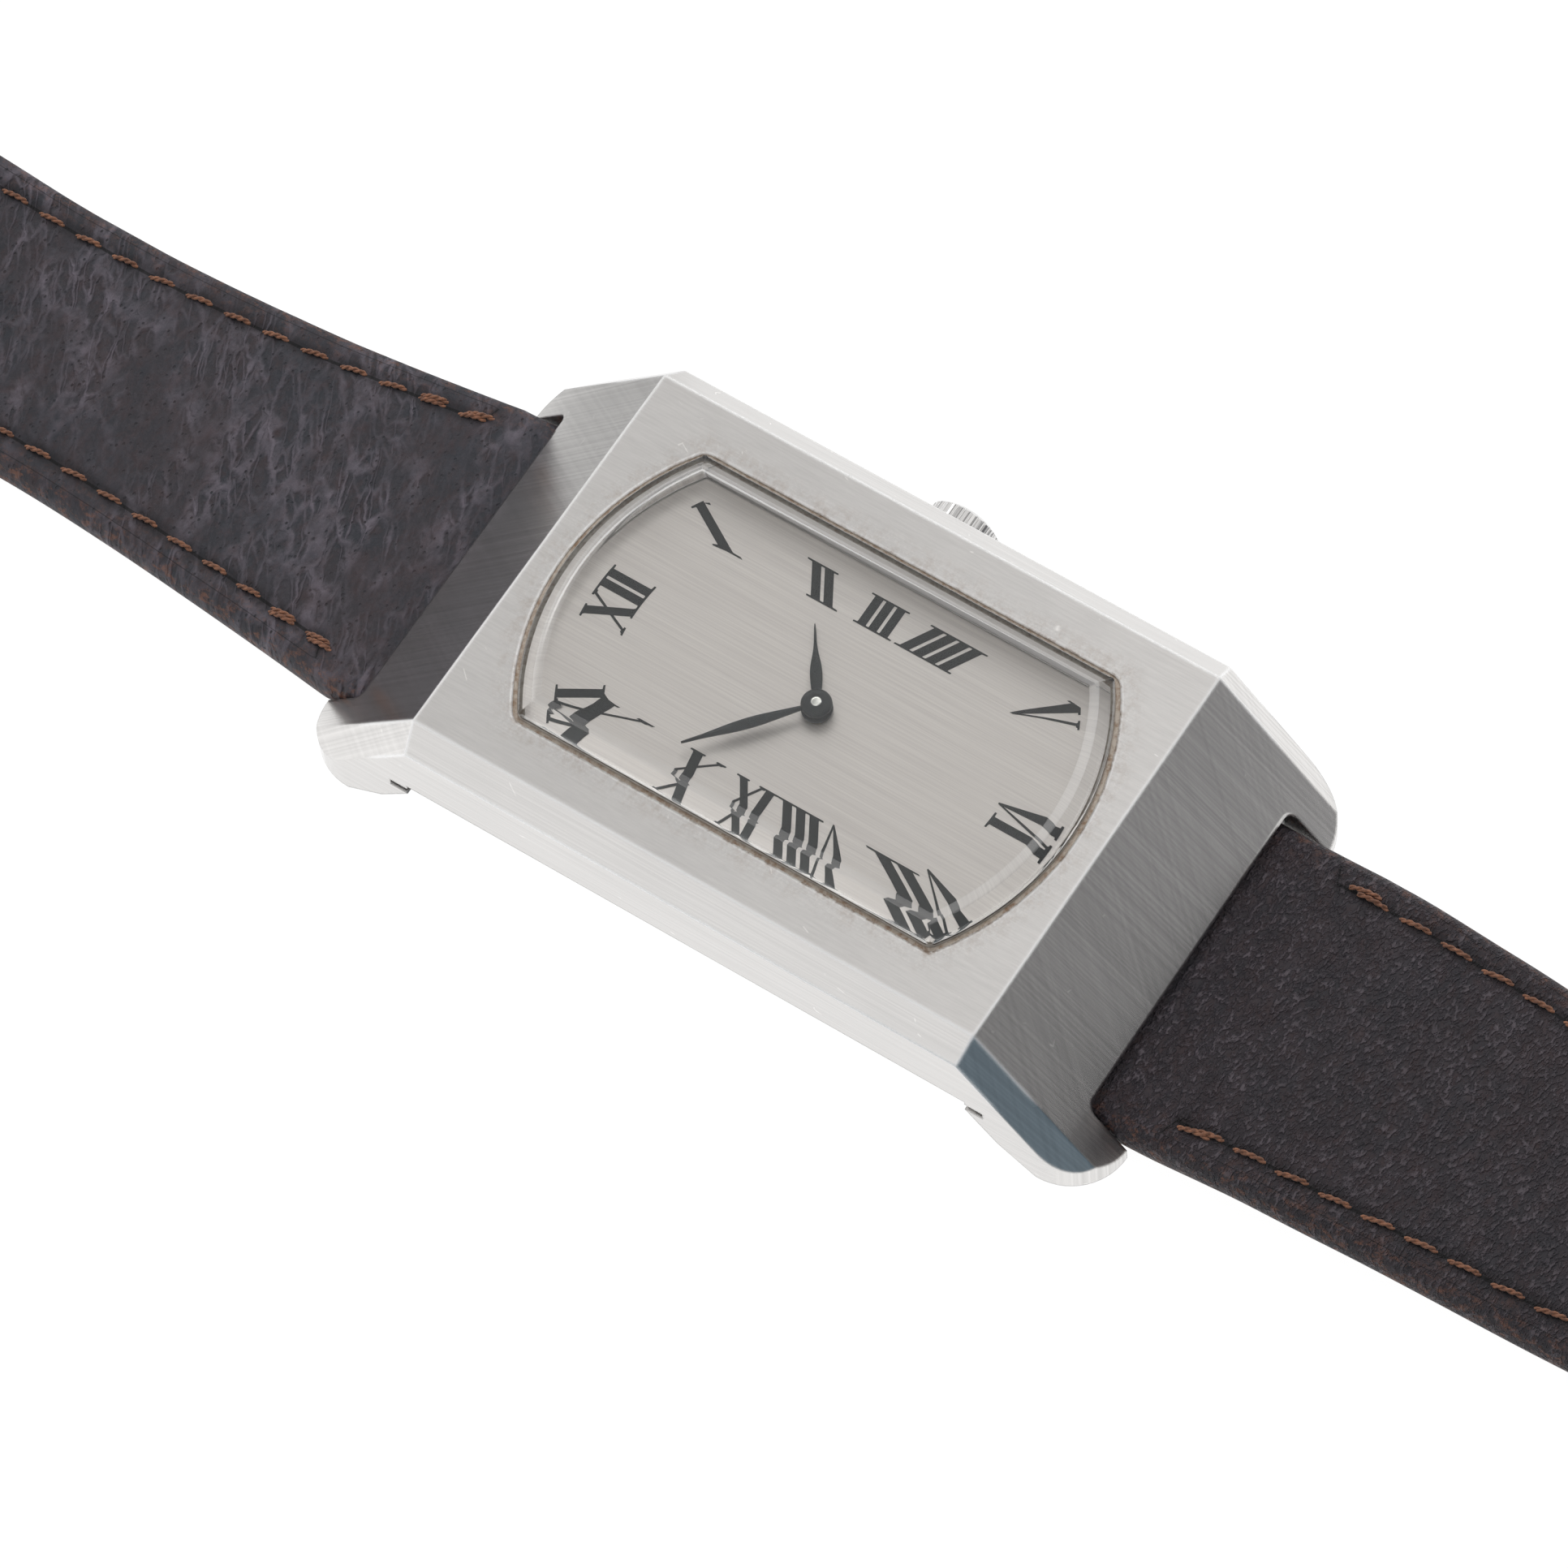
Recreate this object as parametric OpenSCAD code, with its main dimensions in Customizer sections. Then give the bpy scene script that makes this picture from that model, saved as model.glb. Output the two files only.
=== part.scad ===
/* [Case] */
// Length of the case from lug tip to lug tip
case_l = 50.2; // [48:0.1:54]
// Width of the case across its side faces
case_w = 26.8; // [26.4:0.1:28]
// Length of the flat top face
top_l = 34.6; // [34:0.1:36]
// Width of the bevel between the top face and a side face
bevel_w = 1.4; // [0.8:0.1:1.6]
// Height of that bevel
bevel_h = 1.45; // [0.8:0.05:1.8]
// Slope of the hoods that run down over the strap ends
hood_angle = 49.5; // [46:0.5:52]
// Depth of the chamfer beside a hood, square to the hood
hood_chamfer = 1.13; // [0.6:0.01:1.4]
// Radius of the corners of the case in plan
lug_corner_r = 3.4; // [2:0.1:3.8]
// Height of the lug bottoms above the case back's outer face
lug_foot_z = 0.14; // [0:0.02:0.4]
// Height of the lower edge of the side faces
side_foot_z = 4.7; // [4.2:0.1:5.1]
// Length of the side faces along that edge
side_foot_l = 34.8; // [34:0.1:35.6]
// How far the belly draws in towards the case back
belly_draw = 1.5; // [1:0.1:1.8]
// Distance from the centre to the wall behind a strap end
strap_wall_y = 19.6; // [19:0.1:19.9]
// Height of the hood's underside over the strap
slot_h = 3.8; // [3.6:0.05:4.2]
// Radius of the slot's two upper corners
slot_corner_r = 0.6; // [0.2:0.1:1]
// Width of the notch where a lever opens the case back
lever_notch_l = 1.1; // [0.8:0.1:1.6]
// Height of that notch
lever_notch_h = 0.6; // [0.4:0.1:0.8]

/* [Window and crystal] */
// Width of the opening in the top face
window_w = 18.5; // [18:0.1:19]
// Length of the opening at its middle
window_l = 31.76; // [31.4:0.02:32.2]
// Radius of the opening's curved ends
window_end_r = 15.7; // [15:0.1:17]
// Radius of the opening's corners
window_corner_r = 0.9; // [0.8:0.1:1.2]
// Depth of the step that holds the crystal
lip_h = 0.65; // [0.5:0.05:0.9]
// Gap between the lip and the crystal, filled by the gasket
crystal_gap = 0.25; // [0.15:0.05:0.3]
// Width of the ledge that carries the crystal
ledge_w = 0.5; // [0.4:0.05:0.7]
// Thickness of the gasket under the crystal
gasket_t = 0.2; // [0.1:0.05:0.3]
// How far the gasket stays below the top face
gasket_drop = 0.12; // [0.05:0.01:0.3]
// Thickness of the crystal
crystal_t = 1.45; // [1.2:0.05:1.8]
// Width of the crystal's polished bevel
crystal_bevel_w = 1.1; // [0.6:0.05:1.3]
// Height of that bevel
crystal_bevel_h = 0.7; // [0.4:0.05:0.9]

/* [Height of each layer] */
// Thickness of the case back
back_t = 1; // [0.8:0.05:1.2]
// Gap between the case back and the rotor
rotor_gap = 0.25; // [0.2:0.05:0.4]
// Thickness of the rotor's heavy rim
rotor_rim_h = 1.35; // [1.2:0.05:1.5]
// Gap between the rotor and its bridge
rotor_clear = 0.15; // [0.1:0.05:0.25]
// Thickness of the automatic bridge
auto_bridge_t = 0.55; // [0.5:0.05:0.65]
// Gap that holds the automatic wheels and the ratchet wheel
auto_gap = 0.65; // [0.65:0.05:0.8]
// Thickness of the barrel bridge and the train bridge
bridge_t = 0.4; // [0.35:0.05:0.5]
// Gap that holds the going train
train_gap = 1.4; // [1.4:0.05:1.5]
// Thickness of the mainplate
plate_t = 2.05; // [2.05:0.05:2.2]
// Thickness of the dial
dial_t = 0.4; // [0.3:0.05:0.5]
// Room for the hands, from the dial to the crystal's ledge
hand_room = 1.35; // [1.3:0.05:1.6]
// Height of the stem above the mainplate's lower face
stem_rise = 0.45; // [0.4:0.01:0.5]

/* [Case back and movement holder] */
// Radius of the movement
movement_r = 10; // [9.9:0.05:10.05]
// Gap between the movement and its holder
holder_gap = 0.02; // [0.01:0.01:0.05]
// Thickness of the holder beside the movement
holder_side = 0.48; // [0.4:0.02:0.6]
// Gap between the holder and the case
cavity_gap = 0.1; // [0.05:0.05:0.15]
// Length of the cavity in the case
cavity_l = 31.2; // [30.8:0.1:31.6]
// Radius of the cavity's corners
cavity_corner_r = 1.2; // [0.8:0.1:2]
// Height of the holder
holder_h = 3.2; // [3:0.1:3.6]
// How far the case back stays inside the edge of the belly
back_inset = 0.2; // [0.1:0.05:0.4]
// Height of the case back's inner rim
back_rim_h = 1.1; // [0.9:0.1:1.2]
// Thickness of that rim
back_rim_t = 0.35; // [0.3:0.05:0.5]
// Diameter of the case back gasket's section
back_gasket_d = 0.3; // [0.2:0.05:0.4]
// Width of a holding clamp
clamp_w = 2.4; // [2:0.1:3]
// Thickness of a holding clamp
clamp_t = 0.3; // [0.2:0.05:0.4]
// How far a clamp reaches over the movement
clamp_reach = 0.6; // [0.4:0.05:0.7]

/* [Crown and stem] */
// Diameter of the crown
crown_d = 4.2; // [4:0.1:4.5]
// Length of the crown
crown_l = 1.85; // [1.6:0.05:2.1]
// Number of flutes round the crown
crown_flutes = 30; // [20:1:34]
// Diameter of the cutter that makes a flute
flute_d = 0.26; // [0.16:0.02:0.28]
// Depth of the round recess that the crown sits in
crown_recess = 0.7; // [0.5:0.05:0.9]
// Gap round the crown in its recess
crown_gap = 0.25; // [0.15:0.05:0.35]
// Gap between the crown and the recess's floor
crown_seat_gap = 0.06; // [0.04:0.01:0.1]
// Outer diameter of the crown tube
tube_d = 2; // [1.8:0.05:2.2]
// Bore of the crown tube
tube_bore_d = 1.1; // [1.05:0.01:1.2]
// How far the crown tube stands out of the recess
tube_out = 1; // [0.8:0.05:1.1]
// Thickness of the crown's gasket
crown_gasket_t = 0.15; // [0.1:0.01:0.2]
// Running gap between the gasket and the tube
crown_gasket_gap = 0.02; // [0.01:0.01:0.05]
// Diameter of the winding stem
stem_d = 0.9; // [0.8:0.02:0.96]
// How far the crown pulls out to set the hands
crown_pull = 0.9; // [0.7:0.05:1]

/* [Dial and hands] */
// Width of the dial
dial_w = 18.4; // [18:0.1:19]
// Length of the dial
dial_l = 30.8; // [30.6:0.1:31]
// Length of the minute hand
minute_hand_l = 7.35; // [6:0.05:7.8]
// Length of the hour hand
hour_hand_l = 4.95; // [4:0.05:5.4]
// Greatest width of the minute hand
minute_hand_w = 0.62; // [0.4:0.05:0.8]
// Greatest width of the hour hand
hour_hand_w = 0.66; // [0.4:0.05:0.8]
// Thickness of a hand
hand_t = 0.14; // [0.1:0.02:0.16]
// Diameter of the boss of a hand
hand_boss_d = 1.7; // [1.4:0.1:1.9]
// Minutes that the hands show
shown_minutes = 51.8; // [0:0.1:59.9]
// Hour that the hands show
shown_hour = 1; // [0:1:11]
// Gap between the dial and the hour hand
hour_hand_gap = 0.25; // [0.2:0.05:0.35]
// Height of the minute hand's boss
minute_boss_h = 0.4; // [0.3:0.05:0.45]

/* [Going train] */
// Tooth module of the barrel and the centre pinion
barrel_m = 0.1; // [0.09:0.005:0.105]
// Teeth of the barrel
barrel_teeth = 72; // [70:1:72]
// Tooth module of the centre wheel
centre_m = 0.1; // [0.095:0.005:0.1]
// Teeth of the centre wheel
centre_teeth = 75; // [75:1:75]
// Tooth module of the third wheel
third_m = 0.07; // [0.065:0.005:0.07]
// Teeth of the third wheel
third_teeth = 80; // [80:1:80]
// Tooth module of the fourth wheel
fourth_m = 0.065; // [0.06:0.005:0.065]
// Teeth of the fourth wheel
fourth_teeth = 84; // [84:1:84]
// Leaves of the centre, third and fourth pinions
pinion_leaves = 10; // [10:1:10]
// Leaves of the escape pinion
escape_leaves = 7; // [7:1:7]
// Teeth of the escape wheel
escape_teeth = 15; // [15:1:15]
// Radius of the escape wheel
escape_r = 1.9; // [1.7:0.05:1.95]
// Thickness of a train wheel
wheel_t = 0.15; // [0.12:0.01:0.17]
// Radius of a train pivot
pivot_r = 0.1; // [0.08:0.01:0.12]
// Running gap of a pivot in its jewel
pivot_gap = 0.015; // [0.01:0.005:0.03]
// Radius of a jewel
jewel_r = 0.45; // [0.35:0.05:0.5]
// Thickness of a jewel
jewel_t = 0.2; // [0.15:0.05:0.25]
// Radius of a wheel's arbor
arbor_r = 0.2; // [0.18:0.01:0.22]
// Height of the barrel drum
barrel_h = 0.9; // [0.8:0.05:0.95]
// Thickness of the barrel's wall
barrel_wall = 0.12; // [0.1:0.01:0.2]
// Number of turns of the mainspring
mainspring_turns = 8; // [6:1:9]
// Radius of the balance wheel
balance_r = 3.8; // [3.5:0.05:3.8]
// Width of the balance wheel's rim
balance_rim_w = 0.4; // [0.3:0.05:0.5]
// Thickness of the balance wheel's rim
balance_rim_t = 0.3; // [0.25:0.05:0.35]
// Distance from the pallet arbor to the balance staff
fork_l = 2.6; // [2.5:0.05:2.7]
// Number of turns of the hairspring
hairspring_turns = 9; // [6:1:11]
// Outer radius of the hairspring
hairspring_r = 1.7; // [1.5:0.05:1.9]
// Width of the hairspring's strip
hairspring_w = 0.04; // [0.03:0.01:0.05]

/* [Motion works and keyless works] */
// Tooth module of the cannon pinion and the minute wheel
minute_m = 0.1; // [0.095:0.005:0.1]
// Teeth of the cannon pinion
cannon_teeth = 12; // [12:1:12]
// Teeth of the minute wheel
minute_teeth = 36; // [36:1:36]
// Leaves of the minute wheel's pinion
minute_leaves = 10; // [10:1:10]
// Teeth of the hour wheel
hour_teeth = 40; // [40:1:40]
// Teeth of the setting wheel
setting_teeth = 20; // [18:1:20]
// Tooth module of the ratchet wheel and the crown wheel
ratchet_m = 0.1; // [0.095:0.005:0.1]
// Teeth of the ratchet wheel
ratchet_teeth = 68; // [68:1:68]
// Teeth of the crown wheel
crown_teeth = 44; // [44:1:44]
// Teeth of the winding pinion
winding_teeth = 18; // [18:1:18]
// Radius of the winding pinion
winding_r = 1.2; // [1.1:0.05:1.2]
// Length of the winding pinion
winding_l = 0.6; // [0.5:0.05:0.65]
// Radius of the sliding pinion
sliding_r = 0.85; // [0.75:0.05:0.85]
// Length of the sliding pinion
sliding_l = 1.9; // [1.7:0.05:1.95]
// How far the sliding pinion moves when the crown is pulled
sliding_shift = 0.45; // [0.35:0.05:0.5]

/* [Automatic works] */
// Radius of the rotor
rotor_r = 9.6; // [9:0.1:9.65]
// Width of the rotor's heavy rim
rotor_rim_w = 2.2; // [1.6:0.1:2.6]
// Thickness of the rotor's plate
rotor_plate_t = 0.35; // [0.3:0.05:0.45]
// Outer radius of the rotor's ball bearing
bearing_r = 1.6; // [1.4:0.05:1.7]
// Number of balls in that bearing
bearing_balls = 7; // [5:1:8]
// Teeth of the rotor's gear
rotor_teeth = 40; // [40:1:40]
// Teeth of a reverser wheel
reverser_teeth = 30; // [30:1:30]
// Tooth module of the automatic wheels
auto_m = 0.1; // [0.095:0.005:0.1]
// Teeth of the automatic driving wheel
driving_teeth = 36; // [36:1:36]

/* [Strap and buckle] */
// Distance between the lugs
lug_gap = 20; // [19.6:0.1:20.2]
// Distance from the centre to a spring bar
bar_y = 21.6; // [21.5:0.05:21.7]
// Height of a spring bar above the case back's outer face
bar_z = 1.7; // [1.65:0.05:1.8]
// Diameter of a spring bar
bar_d = 1.5; // [1.3:0.1:1.6]
// Diameter of a spring bar's tips
bar_tip_d = 0.8; // [0.6:0.05:0.9]
// Depth of the hole in a lug for a tip
bar_hole_l = 1.6; // [1.2:0.1:2]
// Running gap of a bar or a tip
bar_gap = 0.03; // [0.02:0.01:0.06]
// Gap between the strap and a lug
strap_side_gap = 0.15; // [0.1:0.05:0.3]
// Thickness of the strap at the case
strap_case_t = 3; // [2.8:0.1:3]
// Thickness of the rest of the strap
strap_t = 2.2; // [2:0.1:2.3]
// Width of the strap at the buckle
strap_end_w = 16; // [15:0.5:16.5]
// Length of the strap half with the buckle
buckle_strap_l = 75; // [72:1:80]
// Length of the strap half with the holes
tail_strap_l = 115; // [110:1:120]
// Distance from the case to where the strap is at its thin thickness
thin_y = 36; // [34:1:38]
// Distance from the centre to where the buckle strap reaches its end width
narrow_12_y = 48; // [46:1:50]
// Distance from the centre to where the tail strap reaches its end width
narrow_6_y = 58; // [56:1:62]
// How sharply the strap's sides curve in: 1 is straight
taper_curve = 1.5; // [1:0.1:2]
// Distance from the centre to where the buckle strap lifts off the table
lift_y = 52; // [50:1:54]
// Length of that rise
lift_l = 10; // [8:1:11]
// Number of buckle holes
strap_holes = 7; // [5:1:8]
// Distance between buckle holes
hole_pitch = 7; // [6.5:0.5:7]
// Radius of a buckle hole
hole_r = 1; // [0.8:0.1:1.2]
// Distance from the tail's tip to its first hole
hole_start = 24; // [22:1:28]
// Length of the tail's rounded tip
tip_l = 9; // [8.5:0.5:11]
// Thickness of a keeper's leather
keeper_t = 1; // [0.8:0.1:1.2]
// Length of a keeper along the strap
keeper_l = 4; // [3:0.5:5]
// Gap between the strap and a keeper's sides
keeper_side_gap = 0.4; // [0.3:0.1:0.6]
// Gap between the strap and a keeper's lower wall
keeper_gap = 0.1; // [0.05:0.05:0.2]
// Spare height in a keeper, over two layers of strap
keeper_spare = 0.4; // [0.2:0.1:0.8]
// Distance from the buckle bar to the fixed keeper
fixed_keeper_back = 7; // [6.5:0.5:8]
// Distance from the fixed keeper to the free keeper at rest
free_keeper_back = 7; // [5.5:0.5:8]
// Outer length of the buckle frame in front of its bar
buckle_l = 11; // [10:0.5:12]
// Width of the buckle frame's sides
buckle_side_w = 1.7; // [1.4:0.1:2]
// Width of the buckle frame's front
buckle_front_w = 2.2; // [1.8:0.1:2.6]
// Thickness of the buckle frame
buckle_t = 1.8; // [1.6:0.1:2]
// Radius of the buckle frame's front corners
buckle_corner_r = 2.6; // [2.3:0.1:3]
// Gap between the strap and the buckle frame's sides
buckle_gap = 0.3; // [0.2:0.05:0.5]
// Diameter of the buckle bar
buckle_bar_d = 1.2; // [1:0.1:1.3]
// Slope of the buckle as it lies on the table
buckle_drop = 6.5; // [5:0.5:7]
// Width of the tongue
tongue_w = 1.8; // [1.6:0.1:2]
// Thickness of the tongue
tongue_t = 0.9; // [0.7:0.05:1]
// Gap on each side of the tongue in the strap's slot
tongue_gap = 0.4; // [0.3:0.1:0.6]
// Gap between the tongue and the buckle's front
tongue_rest_gap = 0.05; // [0.03:0.01:0.1]

/* [Hidden] */
$fn = 64;
e = 0.01; // overlap that keeps joined solids whole
far = 100; // longer than anything that is cut

// Heights of the layers, from the case back up
rotor_z = back_t + rotor_gap;
auto_z = rotor_z + rotor_rim_h + rotor_clear;
auto_top = auto_z + auto_bridge_t;
bridge_z = auto_top + auto_gap;
bridge_top = bridge_z + bridge_t;
plate_z = bridge_top + train_gap;
plate_top = plate_z + plate_t;
dial_top = plate_top + dial_t;
seat_z = dial_top + hand_room;
top_z = seat_z + lip_h;
stem_z = plate_z + stem_rise;
crystal_z = seat_z + gasket_t;

// Plan of the case and its cavity
case_hw = case_w / 2;
case_hl = case_l / 2;
top_hw = case_hw - bevel_w;
cavity_hw = movement_r + holder_gap + holder_side + cavity_gap;
cavity_hl = cavity_l / 2;
window_hw = window_w / 2;
window_hl = window_l / 2;
window_arc_y = window_hl - window_end_r; // centre of the upper end's arc
belly_hw = case_hw - belly_draw;
belly_hl = side_foot_l / 2 - belly_draw / 3;
strap_hw = lug_gap / 2 - strap_side_gap;

// Places of the train's arbors in plan
function polar(r, a) = [r * cos(a), r * sin(a)];
function pitch_r(m, z) = m * z / 2;
function centres(m, z1, z2) = m * (z1 + z2) / 2;
function bearing_of(p, q) = atan2(q.y - p.y, q.x - p.x);
// Turn of a gear of z2 teeth that meshes with one of z1 teeth, turned by p1, in the direction a
function mesh_turn(z1, p1, z2, a) = a + 180 - (p1 - a) * z1 / z2 + 180 / z2;
origin = [0, 0];
barrel_at = polar(centres(barrel_m, barrel_teeth, pinion_leaves), 60);
third_at = polar(centres(centre_m, centre_teeth, pinion_leaves), 172);
fourth_at = third_at + polar(centres(third_m, third_teeth, pinion_leaves), 255);
escape_at = fourth_at + polar(centres(fourth_m, fourth_teeth, escape_leaves), 325);
pallet_a = -10; // direction from the escape wheel to the pallet arbor and the balance
pallet_at = escape_at + polar(escape_r / cos(30), pallet_a);
balance_at = pallet_at + polar(fork_l, pallet_a);
ratchet_centres = centres(ratchet_m, ratchet_teeth, crown_teeth);
crown_wheel_at = [barrel_at.x + sqrt(pow(ratchet_centres, 2) - pow(barrel_at.y, 2)), 0];
crown_ring_r = ratchet_centres - pitch_r(barrel_m, barrel_teeth) - 0.32;
minute_at = polar(centres(minute_m, cannon_teeth, minute_teeth), -40);
hour_m = 2 * norm(minute_at) / (minute_leaves + hour_teeth);
setting_a = 14.5; // direction from the minute wheel to the setting wheel
setting_at = minute_at + polar(centres(minute_m, minute_teeth, setting_teeth), setting_a);
reverser_a_at = polar(centres(auto_m, rotor_teeth, reverser_teeth), 200);
reverser_b_at = reverser_a_at + polar(centres(auto_m, reverser_teeth, reverser_teeth), 100);
driving_small = 14; // leaves under the driving wheel that turn the ratchet wheel
driving_at = barrel_at + polar(centres(ratchet_m, ratchet_teeth, driving_small), 172);
// Heights of the train's wheels
centre_wheel_z = plate_z - 0.15 - wheel_t;
third_wheel_z = bridge_top + 0.6;
fourth_wheel_z = bridge_top + 0.2;
escape_z = bridge_top + 0.6;
barrel_z = bridge_top + 0.1;
ratchet_t = 0.25;
ratchet_z = bridge_z - 0.05 - ratchet_t;
balance_z = bridge_z + 0.1;
motion_z = plate_top - 1.05; // floor of the motion works' recess
// Keyless works
winding_x = crown_wheel_at.x + crown_ring_r - winding_l / 2;
sliding_x = winding_x - 0.05 - sliding_l;
recess_x = case_hw - crown_recess;
crown_x = recess_x + crown_seat_gap;
crown_out = crown_x + crown_l;
// Hands
minute_angle = 90 - 6 * shown_minutes;
hour_angle = 90 - 30 * (shown_hour + shown_minutes / 60);
hour_hand_z = dial_top + hour_hand_gap;
minute_hand_z = hour_hand_z + 0.6;
// Strap and buckle
strap_low = bar_z - strap_case_t / 2;
keeper_z = keeper_t + keeper_gap; // height of the strap where the keepers carry it
buckle_y = bar_y + buckle_strap_l - 1;
buckle_z = keeper_z + strap_t / 2;
buckle_in = strap_end_w / 2 + buckle_gap;
fixed_keeper_y = buckle_y - fixed_keeper_back;
free_keeper_y = fixed_keeper_y - free_keeper_back;
tail_y = bar_y + tail_strap_l;

// Feet of the bridges, and the screws that hold them
feet_r = 8.3; // radius of the ring that the bridges' feet stand on
barrel_feet = [polar(feet_r, 100), polar(feet_r + 0.05, 25)];
train_feet = [polar(feet_r - 0.1, 165), polar(feet_r, 232)];
cock_foot = polar(feet_r, -24);
pallet_foot = pallet_at + polar(1.6, -100);
auto_feet = [polar(feet_r - 0.3, 75), third_at + 0.55 * (train_feet[0] - third_at), (fourth_at + train_feet[1]) / 2];
foot_r = 0.8;
bridge_r = 9.15; // the bridges stay inside this radius
screw_r = 0.3;
screw_head_r = 0.6;
screw_head_h = 0.28;
screw_end = plate_z + 0.9; // how high the screws reach into the main plate
cock_z = auto_top + 0.05;
cock_t = 0.4;
pallet_bridge_z = bridge_top + 0.1;
pallet_bridge_t = 0.3;
auto_wheel_t = 0.12;
auto_wheel_z = auto_top + 0.04; // rotor gear and reverser wheels
auto_driving_z = auto_wheel_z + auto_wheel_t + 0.03; // driving wheel
reverser_leaves = 24;
driving_m = 2 * norm(driving_at - reverser_b_at) / (driving_teeth + reverser_leaves);
rotor_hub_r = 0.7;
arbor_core_r = 0.8; // barrel arbor inside the spring
arbor_shaft_r = 0.55;
arbor_lid_r = 0.45; // where it passes the barrel's lid
barrel_pivot_r = 0.2; // its upper pivot, beside the centre wheel
centre_r = 0.3; // centre wheel's arbor
post_r = 0.22; // its upper end, in the cannon pinion
cannon_r = 0.36;
hour_tube_r = 0.6;
run_gap = 0.03; // running gap of the plain bearings
// Levers, clicks and the turns of meshing wheels
lever_z = plate_z - 0.3;
lever_t = 0.24;
groove_x = winding_x + winding_l + 0.5; // stem groove that the setting lever holds
pin_x = groove_x + 0.15;
setting_pivot = [pin_x - 0.1, -2.1];
yoke_pivot = [sliding_x + sliding_l * 0.45 + 0.175, -2.3];
cannon_z = motion_z + 0.05;
cannon_top = minute_hand_z + minute_boss_h - 0.1;
minute_wheel_turn = mesh_turn(cannon_teeth, 0, minute_teeth, bearing_of(origin, minute_at));
click_a = 42; // direction of the click from the barrel
click_pivot = barrel_at + polar(pitch_r(ratchet_m, ratchet_teeth) + 1.1, click_a);
reverser_a_turn = mesh_turn(rotor_teeth, 0, reverser_teeth, 200);
reverser_b_turn = mesh_turn(reverser_teeth, reverser_a_turn, reverser_teeth, 100);
// Half width of each hand along its length, both as shares of the greatest
minute_outline = [[0.1, 0.38], [0.28, 0.72], [0.35, 0.87], [0.42, 0.97], [0.5, 1], [0.57, 0.95], [0.65, 0.82],
  [0.745, 0.59], [0.83, 0.39], [0.91, 0.28], [0.98, 0.24], [1, 0.12]];
hour_outline = [[0.1, 0.5], [0.16, 0.68], [0.226, 0.84], [0.34, 0.97], [0.42, 1], [0.49, 0.92], [0.55, 0.79],
  [0.63, 0.53], [0.71, 0.34], [0.79, 0.23], [0.97, 0.16], [1, 0.08]];
// Shapes that several pieces share
module at(p, z = 0) { translate([p.x, p.y, z]) children(); }
// A profile in Y and Z, carried along X
module along_x(l) { rotate([90, 0, 90]) linear_extrude(height = l, center = true) children(); }
// A profile in X and Z, carried along Y
module along_y(l) { rotate([90, 0, 0]) linear_extrude(height = l, center = true) children(); }
// A cylinder along X from x0 to x1
module rod_x(r, x0, x1) {
  translate([min(x0, x1), 0, 0]) rotate([0, 90, 0]) cylinder(r = r, h = abs(x1 - x0));
}
module ring(ro, ri, h) {
  difference() {
    cylinder(r = ro, h = h);
    translate([0, 0, -1]) cylinder(r = ri, h = h + 2);
  }
}
// A block with four upright corners rounded
module round_block(hw, hl, r, z0, z1) {
  translate([0, 0, z0]) linear_extrude(height = z1 - z0) union() {
    square([2 * hw, 2 * (hl - r)], center = true);
    square([2 * (hw - r), 2 * hl], center = true);
    for (x = [-1, 1], y = [-1, 1]) translate([x * (hw - r), y * (hl - r)]) circle(r = r);
  }
}
// The window's outline, drawn in by inset, as a block
module window_block(inset, z0, z1) {
  hw = window_hw - inset;
  ra = window_end_r - inset;
  rc = max(0.15, window_corner_r - inset);
  corner_y = window_arc_y + sqrt(pow(ra - rc, 2) - pow(hw - rc, 2));
  touch_x = (hw - rc) * ra / (ra - rc);
  translate([0, 0, z0]) linear_extrude(height = z1 - z0) union() {
    square([2 * hw, 2 * corner_y], center = true);
    for (s = [0, 1]) mirror([0, s]) intersection() {
      translate([-touch_x, 0]) square([2 * touch_x, far]);
      translate([0, window_arc_y]) circle(r = ra);
    }
    for (x = [-1, 1], y = [-1, 1]) translate([x * (hw - rc), y * corner_y]) circle(r = rc);
  }
}
// A toothed outline: four points a tooth
module gear_2d(m, z, turn = 0) {
  r = pitch_r(m, z);
  root = r - 1.15 * m;
  tip = r + 0.85 * m;
  polygon([for (i = [0 : z - 1], k = [[root, -0.58], [tip, -0.24], [tip, 0.24], [root, 0.58]])
    polar(k[0], turn + (i + k[1] / 2 * 1) * 360 / z)]);
}
module gear(m, z, h, turn = 0) { linear_extrude(height = h) gear_2d(m, z, turn); }
// A train wheel: a toothed rim, crossed arms and a hub
module train_wheel(m, z, h, turn, arms = 4) {
  rim_in = pitch_r(m, z) - 4.2 * m;
  difference() {
    gear(m, z, h, turn);
    translate([0, 0, -1]) cylinder(r = rim_in, h = h + 2);
  }
  intersection() {
    cylinder(r = rim_in + e, h = h);
    union() for (i = [0 : arms - 1]) rotate(i * 360 / arms)
      translate([0, -0.16, 0]) cube([rim_in + 1, 0.32, h]);
  }
  cylinder(r = 0.42, h = h);
}
// An arbor with a pivot at each end, between the jewels of the plate and a bridge
module train_arbor(low, high) {
  translate([0, 0, low + jewel_t + 0.03]) cylinder(r = arbor_r, h = high - low - 2 * jewel_t - 0.06);
  translate([0, 0, low + 0.02]) cylinder(r = pivot_r, h = high - low - 0.04);
}
// A flat spiral strip, as one outline
module spiral_2d(r0, r1, turns, w, steps = 20) {
  n = turns * steps;
  a = [for (i = [0 : n]) 360 * i / steps];
  r = [for (i = [0 : n]) r0 + (r1 - r0) * i / n];
  polygon(concat(
    [for (i = [0 : n]) polar(r[i] - w / 2, a[i])],
    [for (i = [n : -1 : 0]) polar(r[i] + w / 2, a[i])]));
}
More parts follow.
